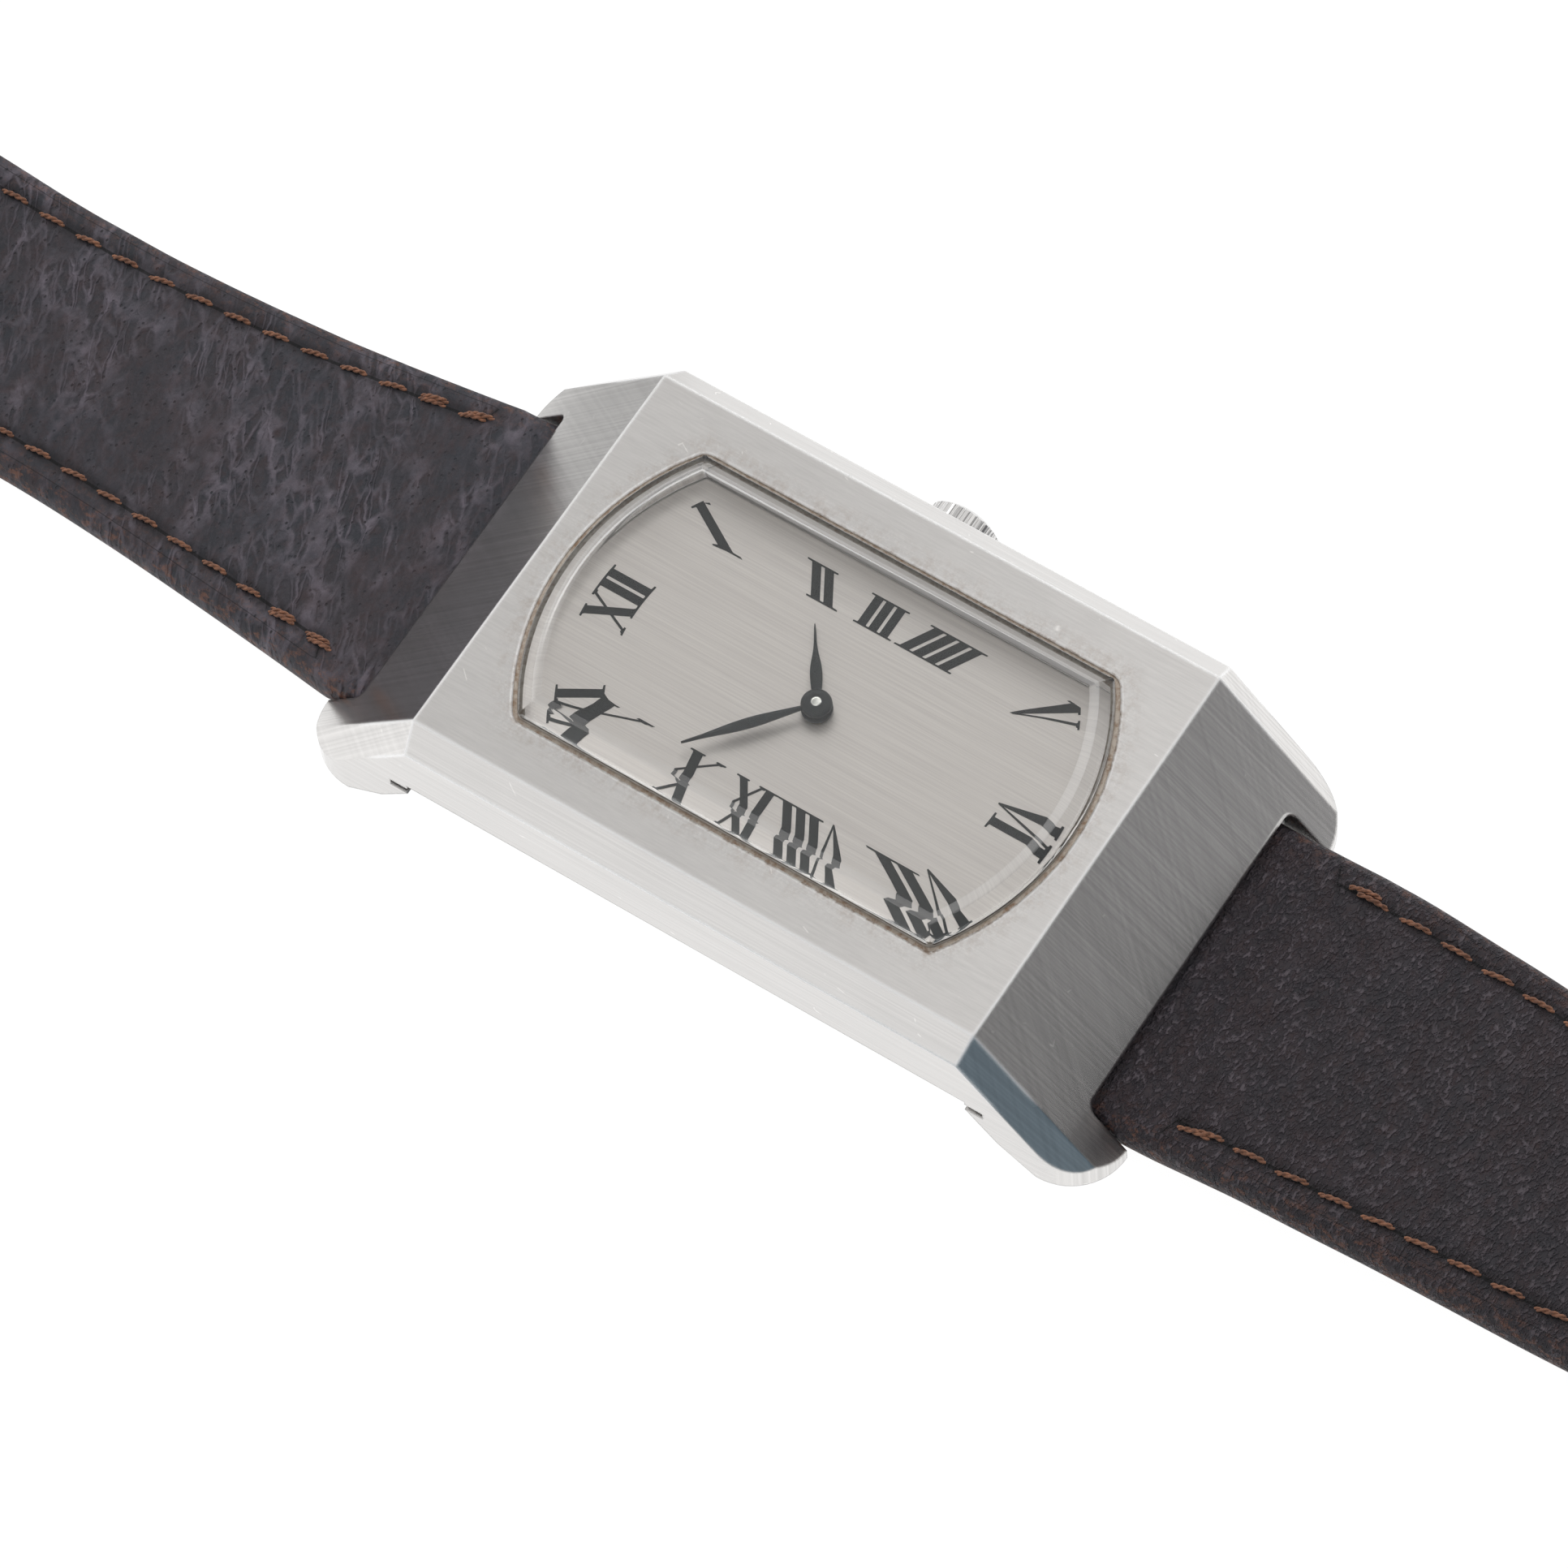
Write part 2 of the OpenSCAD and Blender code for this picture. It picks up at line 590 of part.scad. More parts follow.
// A slotted screw: head down, thread up from z
module slotted_screw(head_r, head_h, r, l) {
  difference() {
    translate([0, 0, -head_h]) cylinder(r = head_r, h = head_h);
    translate([-far, -head_r * 0.14, -head_h - 1]) cube([2 * far, head_r * 0.28, 1 + head_h * 0.45]);
  }
  translate([0, 0, -e]) cylinder(r = r, h = l + e);
}

// The case: one faceted block with its cavity, window, strap slots and lugs
module faceted_block() {
  under = lug_foot_z;
  intersection() {
    along_y(case_l + 2) polygon([[-case_hw, under], [case_hw, under], [case_hw, top_z - bevel_h],
      [top_hw, top_z], [-top_hw, top_z], [-case_hw, top_z - bevel_h]]);
    hood_prism();
    mirror([0, 1, 0]) hood_prism();
    round_block(case_hw, case_hl, lug_corner_r, 0, top_z + 1);
  }
}
// Everything below one hood and its two chamfers
module hood_prism() {
  translate([0, top_l / 2, top_z]) rotate([90 - hood_angle, 0, 0])
    linear_extrude(height = far, center = true)
      polygon([[-case_hw - 1, -far], [case_hw + 1, -far], [case_hw + 1, -hood_chamfer * (1 + 1 / bevel_w)],
        [top_hw, 0], [-top_hw, 0], [-case_hw - 1, -hood_chamfer * (1 + 1 / bevel_w)]]);
}
// The space under the side faces, between the lugs
module under_cut() {
  foot = side_foot_l / 2;
  along_x(case_w + 2) polygon([[-bar_y, -1], [-bar_y, lug_foot_z], [-foot - 1.9, bar_z], [-foot, slot_h],
    [-foot, side_foot_z], [foot, side_foot_z], [foot, slot_h], [foot + 1.9, bar_z],
    [bar_y, lug_foot_z], [bar_y, -1]]);
}
// The belly that carries the case back
module belly(z0, z1, inset = 0) {
  k = (side_foot_z - z0) / (side_foot_z - back_t);
  u = (side_foot_z - z1) / (side_foot_z - back_t);
  foot = side_foot_l / 2;
  function hw(t) = case_hw - belly_draw * t - inset;
  function hl(t) = foot - (foot - belly_hl) * t - inset;
  intersection() {
    along_y(far) polygon([[-hw(k), z0], [hw(k), z0], [hw(u), z1], [-hw(u), z1]]);
    along_x(far) polygon([[-hl(k), z0], [hl(k), z0], [hl(u), z1], [-hl(u), z1]]);
  }
}
module strap_slot() {
  hw = lug_gap / 2;
  l = case_hl - strap_wall_y + 1;
  translate([0, strap_wall_y + l / 2, 0]) along_y(l) union() {
    translate([-hw, -1]) square([lug_gap, slot_h + 1 - slot_corner_r]);
    translate([slot_corner_r - hw, -1]) square([lug_gap - 2 * slot_corner_r, slot_h + 1]);
    for (x = [-1, 1]) translate([x * (hw - slot_corner_r), slot_h - slot_corner_r])
      circle(r = slot_corner_r);
  }
}
module case_middle() {
  color([0.74, 0.73, 0.72]) difference() {
    union() {
      difference() { faceted_block(); under_cut(); }
      belly(back_t, side_foot_z + e);
    }
    round_block(cavity_hw, cavity_hl, cavity_corner_r, back_t - 1, dial_top + 0.1);
    window_block(crystal_gap + ledge_w, dial_top, top_z + 1);
    window_block(0, seat_z, top_z + 1);
    for (s = [0, 1]) mirror([0, s, 0]) strap_slot();
    // Blind holes for the spring bars' tips
    for (s = [-1, 1]) translate([0, s * bar_y, bar_z])
      rod_x(bar_tip_d / 2 + bar_gap, -lug_gap / 2 - bar_hole_l, lug_gap / 2 + bar_hole_l);
    // Recess for the crown and the hole for its tube
    translate([0, 0, stem_z]) {
      rod_x(crown_d / 2 + crown_gap, recess_x, case_hw + 1);
      rod_x(tube_d / 2, cavity_hw - 1, case_hw + 1);
    }
    // Notches for the lever that opens the case back
    for (s = [-1, 1])
      translate([-case_hw - 1, s * (side_foot_l / 2 + lever_notch_l / 2) - lever_notch_l / 2, slot_h])
        cube([2, lever_notch_l, lever_notch_h]);
  }
}
module crystal() {
  hw = window_hw - crystal_gap;
  ra = window_end_r - crystal_gap;
  z1 = crystal_z + crystal_t;
  zb = z1 - crystal_bevel_h;
  color([0.85, 0.9, 0.92, 0.4]) difference() {
    intersection() {
      window_block(crystal_gap, crystal_z, z1);
      along_y(far) polygon([[-hw - 1, crystal_z - 1], [hw + 1, crystal_z - 1],
        [hw + 1, zb - crystal_bevel_h / crystal_bevel_w], [hw - crystal_bevel_w, z1],
        [crystal_bevel_w - hw, z1], [-hw - 1, zb - crystal_bevel_h / crystal_bevel_w]]);
    }
    for (s = [0, 1]) mirror([0, s, 0]) crystal_end_cut(ra, zb, z1);
  }
}
// What the bevel takes off one arched end
module crystal_end_cut(ra, zb, z1) {
  intersection() {
    translate([0, window_arc_y, 0]) rotate_extrude() polygon([[ra - crystal_bevel_w, z1],
      [ra + 1, zb - crystal_bevel_h / crystal_bevel_w], [ra + 2, z1], [ra + 2, z1 + 1],
      [ra - crystal_bevel_w, z1 + 1]]);
    translate([-far, 1, 0]) cube(2 * far);
  }
}
module crystal_gasket() {
  color([0.72, 0.7, 0.66]) difference() {
    window_block(0, seat_z, top_z - gasket_drop);
    window_block(crystal_gap + ledge_w, seat_z - 1, top_z);
    window_block(crystal_gap, crystal_z, top_z);
  }
}
module case_back() {
  color([0.78, 0.78, 0.77]) difference() {
    union() {
      belly(back_t - 0.5, back_t, back_inset);
      belly(0, back_t - 0.5 + e, back_inset + 0.15);
      round_block(cavity_hw - 0.02, cavity_hl - 0.02, cavity_corner_r, back_t - e, back_t + back_rim_h);
    }
    round_block(cavity_hw - 0.02 - back_rim_t, cavity_hl - 0.02 - back_rim_t, cavity_corner_r - back_rim_t,
      back_t, back_t + back_rim_h + 1);
    // Groove for the gasket
    difference() {
      z = back_t + back_rim_h / 2 - back_gasket_d / 2;
      round_block(cavity_hw + 1, cavity_hl + 1, cavity_corner_r, z, z + back_gasket_d);
      round_block(cavity_hw - 0.2, cavity_hl - 0.2, cavity_corner_r - 0.18, z - 1, z + 1);
    }
  }
}
module case_back_gasket() {
  z = back_t + back_rim_h / 2 - back_gasket_d / 2;
  color([0.15, 0.15, 0.15]) difference() {
    round_block(cavity_hw, cavity_hl, cavity_corner_r, z, z + back_gasket_d);
    round_block(cavity_hw - 0.2, cavity_hl - 0.2, cavity_corner_r - 0.18, z - 1, z + 1);
  }
}
// A bar with round ends from p to q
module capsule(p, q, r, h) {
  at(p) cylinder(r = r, h = h);
  at(q) cylinder(r = r, h = h);
  at(p) rotate(bearing_of(p, q)) translate([0, -r, 0]) cube([norm(q - p), 2 * r, h]);
}
module screw_hole(p, z, l) { at(p, z) cylinder(r = screw_r, h = l); }
module bridge_screw(p, z, l) { at(p, z) slotted_screw(screw_head_r, screw_head_h, screw_r, l); }

module crown_tube() {
  color([0.7, 0.7, 0.7]) translate([0, 0, stem_z]) difference() {
    rod_x(tube_d / 2, cavity_hw, recess_x + tube_out);
    rod_x(tube_bore_d / 2, cavity_hw - 1, case_hw + tube_out);
  }
}
module movement_holder() {
  z0 = plate_top - holder_h;
  color([0.8, 0.76, 0.6]) difference() {
    round_block(cavity_hw - cavity_gap, cavity_hl - cavity_gap, cavity_corner_r - cavity_gap, z0, plate_top);
    translate([0, 0, z0 - 1]) cylinder(r = movement_r + holder_gap, h = holder_h + 2);
    translate([0, 0, stem_z]) rod_x(stem_d / 2 + 0.15, movement_r - 1, cavity_hw + 1);
    for (s = [-1, 1]) {
      translate([-clamp_w / 2 - 0.1, s * (movement_r + 1.2) - 1.8, z0 - 1])
        cube([clamp_w + 0.2, 3.6, plate_z - z0 + 1]);
      translate([0, s * (movement_r + 1.6), plate_z - e]) cylinder(r = screw_r, h = 1.2);
    }
  }
}
module holding_clamps() {
  y0 = movement_r - clamp_reach;
  color([0.8, 0.8, 0.8]) for (s = [0, 1]) mirror([0, s, 0]) difference() {
    translate([-clamp_w / 2, y0, plate_z - clamp_t]) cube([clamp_w, movement_r + 2.6 - y0, clamp_t]);
    translate([0, movement_r + 1.6, plate_z - 1]) cylinder(r = screw_r, h = 2);
  }
}
module clamp_screws() {
  color([0.6, 0.6, 0.65]) for (s = [-1, 1]) bridge_screw([0, s * (movement_r + 1.6)], plate_z - clamp_t, 1.2);
}
module dial() {
  color([0.78, 0.76, 0.74]) difference() {
    round_block(dial_w / 2, dial_l / 2, 1, plate_top, dial_top);
    translate([0, 0, plate_top - 1]) cylinder(r = hour_tube_r + 0.15, h = dial_t + 2);
  }
}
module mainplate() {
  x_in = sliding_x - sliding_shift - 0.1;
  x_out = winding_x + winding_l + 0.05;
  color([0.8, 0.72, 0.55]) {
    difference() {
      translate([0, 0, plate_z]) cylinder(r = movement_r, h = plate_t);
      // Motion works
      translate([0, 0, motion_z]) {
        cylinder(r = pitch_r(hour_m, hour_teeth) + 0.25, h = 2);
        at(minute_at) cylinder(r = pitch_r(minute_m, minute_teeth) + 0.2, h = 2);
        at(setting_at) cylinder(r = pitch_r(minute_m, setting_teeth) + 0.2, h = 2);
      }
      translate([0, 0, plate_z - 1]) cylinder(r = centre_r + run_gap, h = plate_t + 2);
      // Keyless works
      translate([x_in, -sliding_r - 0.1, plate_z - 1])
        cube([x_out - x_in, 2 * sliding_r + 0.2, stem_rise + sliding_r + 1.1]);
      translate([winding_x - 0.05, -winding_r - 0.15, plate_z - 1])
        cube([winding_l + 0.1, 2 * winding_r + 0.3, stem_rise + winding_r + 1.15]);
      translate([0, 0, stem_z]) rod_x(stem_d / 2 + run_gap, x_in, movement_r + 1);
      translate([x_out + 0.1, -stem_d / 2 - 0.25, plate_z - 1]) cube([far, stem_d / 2 + 0.35, stem_rise + 1]);
      // Jewels, the barrel's bearing and the screws
      for (p = [third_at, fourth_at, escape_at, pallet_at, balance_at])
        at(p, plate_z - 1) cylinder(r = jewel_r, h = jewel_t + 1);
      at(barrel_at, plate_z - 1) cylinder(r = barrel_pivot_r + run_gap, h = 1.5);
      for (p = concat(barrel_feet, train_feet, [cock_foot, pallet_foot])) screw_hole(p, plate_z - 1, 2);
    }
    at(minute_at, motion_z - e) cylinder(r = 0.2, h = 0.7);
    at(setting_at, motion_z - e) cylinder(r = 0.3, h = 0.4);
  }
}
module barrel_bridge() {
  color([0.8, 0.72, 0.55]) difference() {
    union() {
      difference() {
        intersection() {
          translate([0, 0, bridge_z]) cylinder(r = bridge_r, h = bridge_t);
          translate([0, 0, bridge_z]) linear_extrude(height = bridge_t)
            polygon([[-3, 1.45], [0, 1], [3.3, 1], [3.3, -2.4], [10, -2.4], [10, 10], [-3, 10]]);
        }
        at(balance_at, bridge_z - 1) cylinder(r = balance_r + 0.2, h = 2);
      }
      for (p = barrel_feet) at(p, bridge_z) cylinder(r = foot_r, h = plate_z - bridge_z);
    }
    for (p = barrel_feet) screw_hole(p, bridge_z - 1, 4);
    at(barrel_at, bridge_z - 1) cylinder(r = arbor_shaft_r + run_gap, h = 2);
    at(crown_wheel_at, bridge_z - 1) cylinder(r = crown_ring_r + 0.1 + run_gap, h = 2);
  }
}
module train_bridge() {
  color([0.8, 0.72, 0.55]) difference() {
    translate([0, 0, bridge_z]) union() {
      for (pq = [[origin, third_at], [third_at, fourth_at], [fourth_at, escape_at],
                 [third_at, train_feet[0]], [fourth_at, train_feet[1]]])
        capsule(pq[0], pq[1], foot_r - 0.1, bridge_t);
      for (p = train_feet) at(p) cylinder(r = foot_r, h = plate_z - bridge_z);
    }
    for (p = train_feet) screw_hole(p, bridge_z - 1, 4);
    translate([0, 0, bridge_z - 1]) cylinder(r = centre_r + run_gap, h = 3);
    for (p = [third_at, fourth_at, escape_at]) at(p, bridge_top - jewel_t) cylinder(r = jewel_r, h = 1);
  }
}
module pallet_bridge() {
  color([0.8, 0.72, 0.55]) difference() {
    translate([0, 0, pallet_bridge_z]) {
      capsule(pallet_at, pallet_foot, 0.55, pallet_bridge_t);
      at(pallet_foot) cylinder(r = 0.55, h = plate_z - pallet_bridge_z);
    }
    screw_hole(pallet_foot, pallet_bridge_z - 1, 4);
    at(pallet_at, pallet_bridge_z + pallet_bridge_t - jewel_t) cylinder(r = jewel_r, h = 1);
  }
}
module balance_cock() {
  color([0.8, 0.72, 0.55]) difference() {
    translate([0, 0, cock_z]) {
      capsule(balance_at, cock_foot, 0.7, cock_t);
      at(cock_foot) cylinder(r = foot_r, h = plate_z - cock_z);
    }
    screw_hole(cock_foot, cock_z - 1, 4);
    at(cock_foot, cock_z - 1) cylinder(r = screw_head_r + 0.05, h = 1 + screw_head_h);
    at(balance_at, cock_z + cock_t - jewel_t) cylinder(r = jewel_r, h = 1);
  }
}
module bridge_screws() {
  color([0.35, 0.38, 0.6]) {
    for (p = concat(barrel_feet, train_feet)) bridge_screw(p, bridge_z, screw_end - bridge_z);
    bridge_screw(cock_foot, cock_z + screw_head_h, screw_end - cock_z - screw_head_h);
    // This head sinks into the foot, clear of the balance
    at(pallet_foot, pallet_bridge_z) cylinder(r = screw_r, h = screw_end - pallet_bridge_z);
  }
}
module jewel() { ring(jewel_r, pivot_r + pivot_gap, jewel_t); }
module plate_jewels() {
  color([0.8, 0.1, 0.25])
    for (p = [third_at, fourth_at, escape_at, pallet_at, balance_at]) at(p, plate_z) jewel();
}
module bridge_jewels() {
  color([0.8, 0.1, 0.25]) {
    for (p = [third_at, fourth_at, escape_at]) at(p, bridge_top - jewel_t) jewel();
    at(pallet_at, pallet_bridge_z + pallet_bridge_t - jewel_t) jewel();
    at(balance_at, cock_z + cock_t - jewel_t) jewel();
  }
}
module automatic_bridge() {
  color([0.8, 0.72, 0.55]) difference() {
    translate([0, 0, auto_z]) {
      cylinder(r = 2.6, h = auto_bridge_t);
      for (p = auto_feet) {
        capsule(origin, p, foot_r, auto_bridge_t);
        at(p) cylinder(r = 0.45, h = bridge_z - auto_z);
      }
      capsule(reverser_a_at, reverser_b_at, 0.6, auto_bridge_t);
      capsule(reverser_b_at, driving_at, 0.6, auto_bridge_t);
    }
    translate([0, 0, auto_z - 1]) cylinder(r = bearing_r, h = 3);
    for (p = [reverser_a_at, reverser_b_at, driving_at])
      at(p, auto_z + 0.1) cylinder(r = arbor_r + run_gap, h = 2);
  }
}
module rotor_bearing() {
  mid = (rotor_hub_r + bearing_r - 0.45) / 2;
  ball_r = (bearing_r - 0.45 - rotor_hub_r) / 2 - 0.02;
  color([0.7, 0.7, 0.72]) translate([0, 0, auto_z]) {
    ring(bearing_r, bearing_r - 0.45, auto_bridge_t);
    for (i = [1 : bearing_balls]) rotate(i * 360 / bearing_balls)
      translate([mid, 0, auto_bridge_t / 2]) sphere(r = ball_r);
  }
}
module crown() {
  r = crown_d / 2;
  bore = tube_d / 2 + crown_gasket_gap + crown_gasket_t;
  color([0.8, 0.8, 0.8]) translate([crown_x, 0, stem_z]) rotate([0, 90, 0]) difference() {
    rotate_extrude() polygon([[0, 0], [r - 0.12, 0], [r, 0.12], [r, crown_l - 0.3],
      [r - 0.35, crown_l - 0.06], [r - 0.75, crown_l], [0, crown_l]]);
    for (i = [1 : crown_flutes]) rotate(i * 360 / crown_flutes)
      translate([r + flute_d * 0.12, 0, -1]) cylinder(r = flute_d / 2, h = crown_l + 2, $fn = 16);
    translate([0, 0, -1]) cylinder(r = bore, h = 1 + tube_out + 0.1);
    cylinder(r = stem_d / 2, h = crown_l - 0.5);
  }
}
module crown_gasket() {
  color([0.1, 0.1, 0.1]) translate([crown_x + 0.05, 0, stem_z]) rotate([0, 90, 0])
    ring(tube_d / 2 + crown_gasket_gap + crown_gasket_t, tube_d / 2 + crown_gasket_gap, 0.2);
}
module winding_stem() {
  x_in = sliding_x - sliding_shift - 0.1;
  color([0.65, 0.65, 0.68]) translate([0, 0, stem_z]) difference() {
    rod_x(stem_d / 2, x_in + 0.1, crown_x + crown_l - 0.5);
    difference() {
      rod_x(stem_d, groove_x, groove_x + 0.3);
      rod_x(stem_d / 2 - 0.15, groove_x - 1, groove_x + 1);
    }
  }
}
// A toothed pinion along X, bored for the stem
module stem_pinion(r, z, x0, l) {
  translate([x0, 0, stem_z]) rotate([0, 90, 0]) difference() {
    gear(2 * r / (z + 1.7), z, l);
    translate([0, 0, -1]) cylinder(r = stem_d / 2 + 0.02, h = l + 2);
  }
}
module winding_pinion() {
  color([0.7, 0.7, 0.72]) stem_pinion(winding_r, winding_teeth, winding_x, winding_l);
}
module sliding_pinion() {
  groove = sliding_l * 0.45;
  color([0.7, 0.7, 0.72]) difference() {
    stem_pinion(sliding_r, 14, sliding_x, sliding_l);
    translate([sliding_x, 0, stem_z]) difference() {
      rod_x(sliding_r + 1, groove, groove + 0.35);
      rod_x(sliding_r - 0.28, groove - 1, groove + 1);
    }
  }
}
module setting_lever() {
  color([0.6, 0.62, 0.66]) translate([0, 0, lever_z]) {
    capsule(setting_pivot, [pin_x, -0.42], 0.13, lever_t);
    at(setting_pivot) cylinder(r = 0.4, h = lever_t);
    at([pin_x, -0.42]) cylinder(r = 0.1, h = stem_rise + 0.15);
  }
}
module yoke() {
  color([0.6, 0.62, 0.66]) translate([0, 0, lever_z]) {
    capsule(yoke_pivot, [yoke_pivot.x, -0.62], 0.12, lever_t);
    at(yoke_pivot) cylinder(r = 0.4, h = lever_t);
  }
}
module setting_wheel() {
  p = mesh_turn(minute_teeth, minute_wheel_turn, setting_teeth, setting_a);
  color([0.75, 0.68, 0.45]) at(setting_at, motion_z + 0.08) difference() {
    gear(minute_m, setting_teeth, 0.22, p);
    translate([0, 0, -1]) cylinder(r = 0.3 + run_gap, h = 3);
  }
}
// A leaf hand along X, of the half widths in outline
module leaf_hand(l, w, z, outline) {
  side = [for (s = outline) [l * s[0], w / 2 * s[1]]];
  other = [for (i = [len(side) - 1 : -1 : 0]) [side[i].x, -side[i].y]];
  translate([0, 0, z]) linear_extrude(height = hand_t)
    polygon(concat([[0, w * 0.2]], side, other, [[0, -w * 0.2]]));
}
module minute_hand() {
  r = hand_boss_d / 2;
  color([0.13, 0.15, 0.2]) difference() {
    union() {
      rotate(minute_angle) leaf_hand(minute_hand_l, minute_hand_w, minute_hand_z, minute_outline);
      translate([0, 0, minute_hand_z]) rotate_extrude()
        polygon([[0, 0], [r, 0], [r, hand_t], [r * 0.8, hand_t + 0.06], [r * 0.62, hand_t + 0.06],
          [r * 0.5, minute_boss_h], [0, minute_boss_h]]);
    }
    translate([0, 0, minute_hand_z - 1]) cylinder(r = cannon_r, h = 1 + minute_boss_h - 0.1);
  }
}
module hour_hand() {
  color([0.13, 0.15, 0.2]) difference() {
    union() {
      rotate(hour_angle) leaf_hand(hour_hand_l, hour_hand_w, hour_hand_z, hour_outline);
      translate([0, 0, hour_hand_z]) cylinder(r = hand_boss_d / 2, h = hand_t);
    }
    translate([0, 0, hour_hand_z - 1]) cylinder(r = hour_tube_r, h = 2);
  }
}
module cannon_pinion() {
  color([0.65, 0.65, 0.68]) difference() {
    union() {
      translate([0, 0, cannon_z]) gear(minute_m, cannon_teeth, 0.4);
      translate([0, 0, cannon_z]) cylinder(r = cannon_r, h = cannon_top - cannon_z);
    }
    translate([0, 0, cannon_z - 1]) cylinder(r = post_r, h = cannon_top - 0.1 - cannon_z + 1);
  }
}
module minute_wheel() {
  color([0.75, 0.68, 0.45]) at(minute_at, motion_z + 0.08) difference() {
    union() {
      gear(minute_m, minute_teeth, 0.22, minute_wheel_turn);
      gear(hour_m, minute_leaves, 0.62);
    }
    translate([0, 0, -1]) cylinder(r = 0.2 + run_gap, h = 3);
  }
}
module hour_wheel() {
  z = cannon_z + 0.45;
  a = bearing_of(minute_at, origin);
  color([0.75, 0.68, 0.45]) difference() {
    translate([0, 0, z]) {
      gear(hour_m, hour_teeth, 0.2, mesh_turn(minute_leaves, 0, hour_teeth, a));
      cylinder(r = hour_tube_r, h = hour_hand_z + hand_t + 0.12 - z);
    }
    translate([0, 0, z - 1]) cylinder(r = cannon_r + run_gap, h = far);
  }
}
module mainspring_barrel() {
  r = pitch_r(barrel_m, barrel_teeth) - 2 * barrel_m;
  color([0.78, 0.7, 0.48]) at(barrel_at, barrel_z) {
    difference() {
      union() {
        gear(barrel_m, barrel_teeth, 0.25, bearing_of(origin, barrel_at) + 180 / barrel_teeth + 180);
        cylinder(r = r, h = barrel_h);
      }
      translate([0, 0, barrel_wall]) cylinder(r = r - barrel_wall, h = barrel_h);
      translate([0, 0, -1]) cylinder(r = arbor_shaft_r + run_gap, h = 3);
    }
    translate([0, 0, barrel_h - barrel_wall]) ring(r - barrel_wall - e, arbor_lid_r + run_gap, barrel_wall);
  }
}
module barrel_arbor() {
  color([0.65, 0.65, 0.68]) at(barrel_at) {
    translate([0, 0, ratchet_z]) cylinder(r = arbor_shaft_r, h = barrel_z + barrel_wall + 0.03 - ratchet_z);
    translate([0, 0, barrel_z + barrel_wall + 0.02])
      cylinder(r = arbor_core_r, h = barrel_h - 2 * barrel_wall - 0.04);
    translate([0, 0, barrel_z + barrel_h - 2 * barrel_wall]) cylinder(r = arbor_lid_r, h = 2 * barrel_wall);
    translate([0, 0, barrel_z + barrel_h - e])
      cylinder(r = barrel_pivot_r, h = plate_z + 0.4 - barrel_z - barrel_h);
  }
}
module mainspring() {
  r = pitch_r(barrel_m, barrel_teeth) - 2 * barrel_m - barrel_wall;
  color([0.7, 0.72, 0.76]) at(barrel_at, barrel_z + barrel_wall + 0.04)
    linear_extrude(height = barrel_h - 2 * barrel_wall - 0.08)
      spiral_2d(arbor_core_r + 0.1, r - 0.08, mainspring_turns, 0.1);
}
module centre_wheel() {
  color([0.78, 0.7, 0.48]) {
    translate([0, 0, centre_wheel_z]) train_wheel(centre_m, centre_teeth, wheel_t, 0, 5);
    translate([0, 0, barrel_z]) gear(barrel_m, pinion_leaves, 0.5, bearing_of(origin, barrel_at));
    translate([0, 0, bridge_z + 0.02]) cylinder(r = centre_r, h = cannon_z - bridge_z - 0.02);
    translate([0, 0, cannon_z - e]) cylinder(r = post_r, h = cannon_top - 0.15 - cannon_z);
  }
}
// A wheel on its arbor: the wheel at wheel_z, its pinion at pinion_z
module train_mobile(p, m, z, wheel_z, pm, leaves, pinion_z, pinion_h, pinion_turn) {
  at(p) {
    translate([0, 0, wheel_z]) train_wheel(m, z, wheel_t, 0);
    translate([0, 0, pinion_z]) gear(pm, leaves, pinion_h, pinion_turn);
    train_arbor(bridge_top - jewel_t, plate_z + jewel_t);
  }
}
module third_wheel() {
  color([0.78, 0.7, 0.48])
    train_mobile(third_at, third_m, third_teeth, third_wheel_z, centre_m, pinion_leaves,
    centre_wheel_z - 0.1, 0.33, mesh_turn(centre_teeth, 0, pinion_leaves, bearing_of(origin, third_at)));
}
module fourth_wheel() {
  color([0.78, 0.7, 0.48])
    train_mobile(fourth_at, fourth_m, fourth_teeth, fourth_wheel_z, third_m, pinion_leaves,
    third_wheel_z - 0.1, 0.35, mesh_turn(third_teeth, 0, pinion_leaves, bearing_of(third_at, fourth_at)));
}
module escape_wheel() {
  a = pallet_a + 3; // a tooth lies just behind each pallet stone
  color([0.72, 0.72, 0.75]) at(escape_at) {
    translate([0, 0, escape_z]) difference() {
      linear_extrude(height = wheel_t) polygon([for (i = [0 : escape_teeth - 1],
        k = [[escape_r * 0.76, -6], [escape_r * 0.8, -2], [escape_r - 0.06, 5], [escape_r - 0.03, 8],
          [escape_r * 0.76, 4]])
        polar(k[0], a + k[1] + i * 360 / escape_teeth)]);
      translate([0, 0, -1]) ring(escape_r * 0.64, 0.42, 3);
    }
    for (i = [0 : 3]) rotate(i * 90)
      translate([0.3, -0.1, escape_z]) cube([escape_r * 0.68 - 0.3, 0.2, wheel_t]);
    translate([0, 0, fourth_wheel_z - 0.05])
      gear(fourth_m, escape_leaves, 0.25,
        mesh_turn(fourth_teeth, 0, escape_leaves, bearing_of(fourth_at, escape_at)));
    train_arbor(bridge_top - jewel_t, plate_z + jewel_t);
  }
}
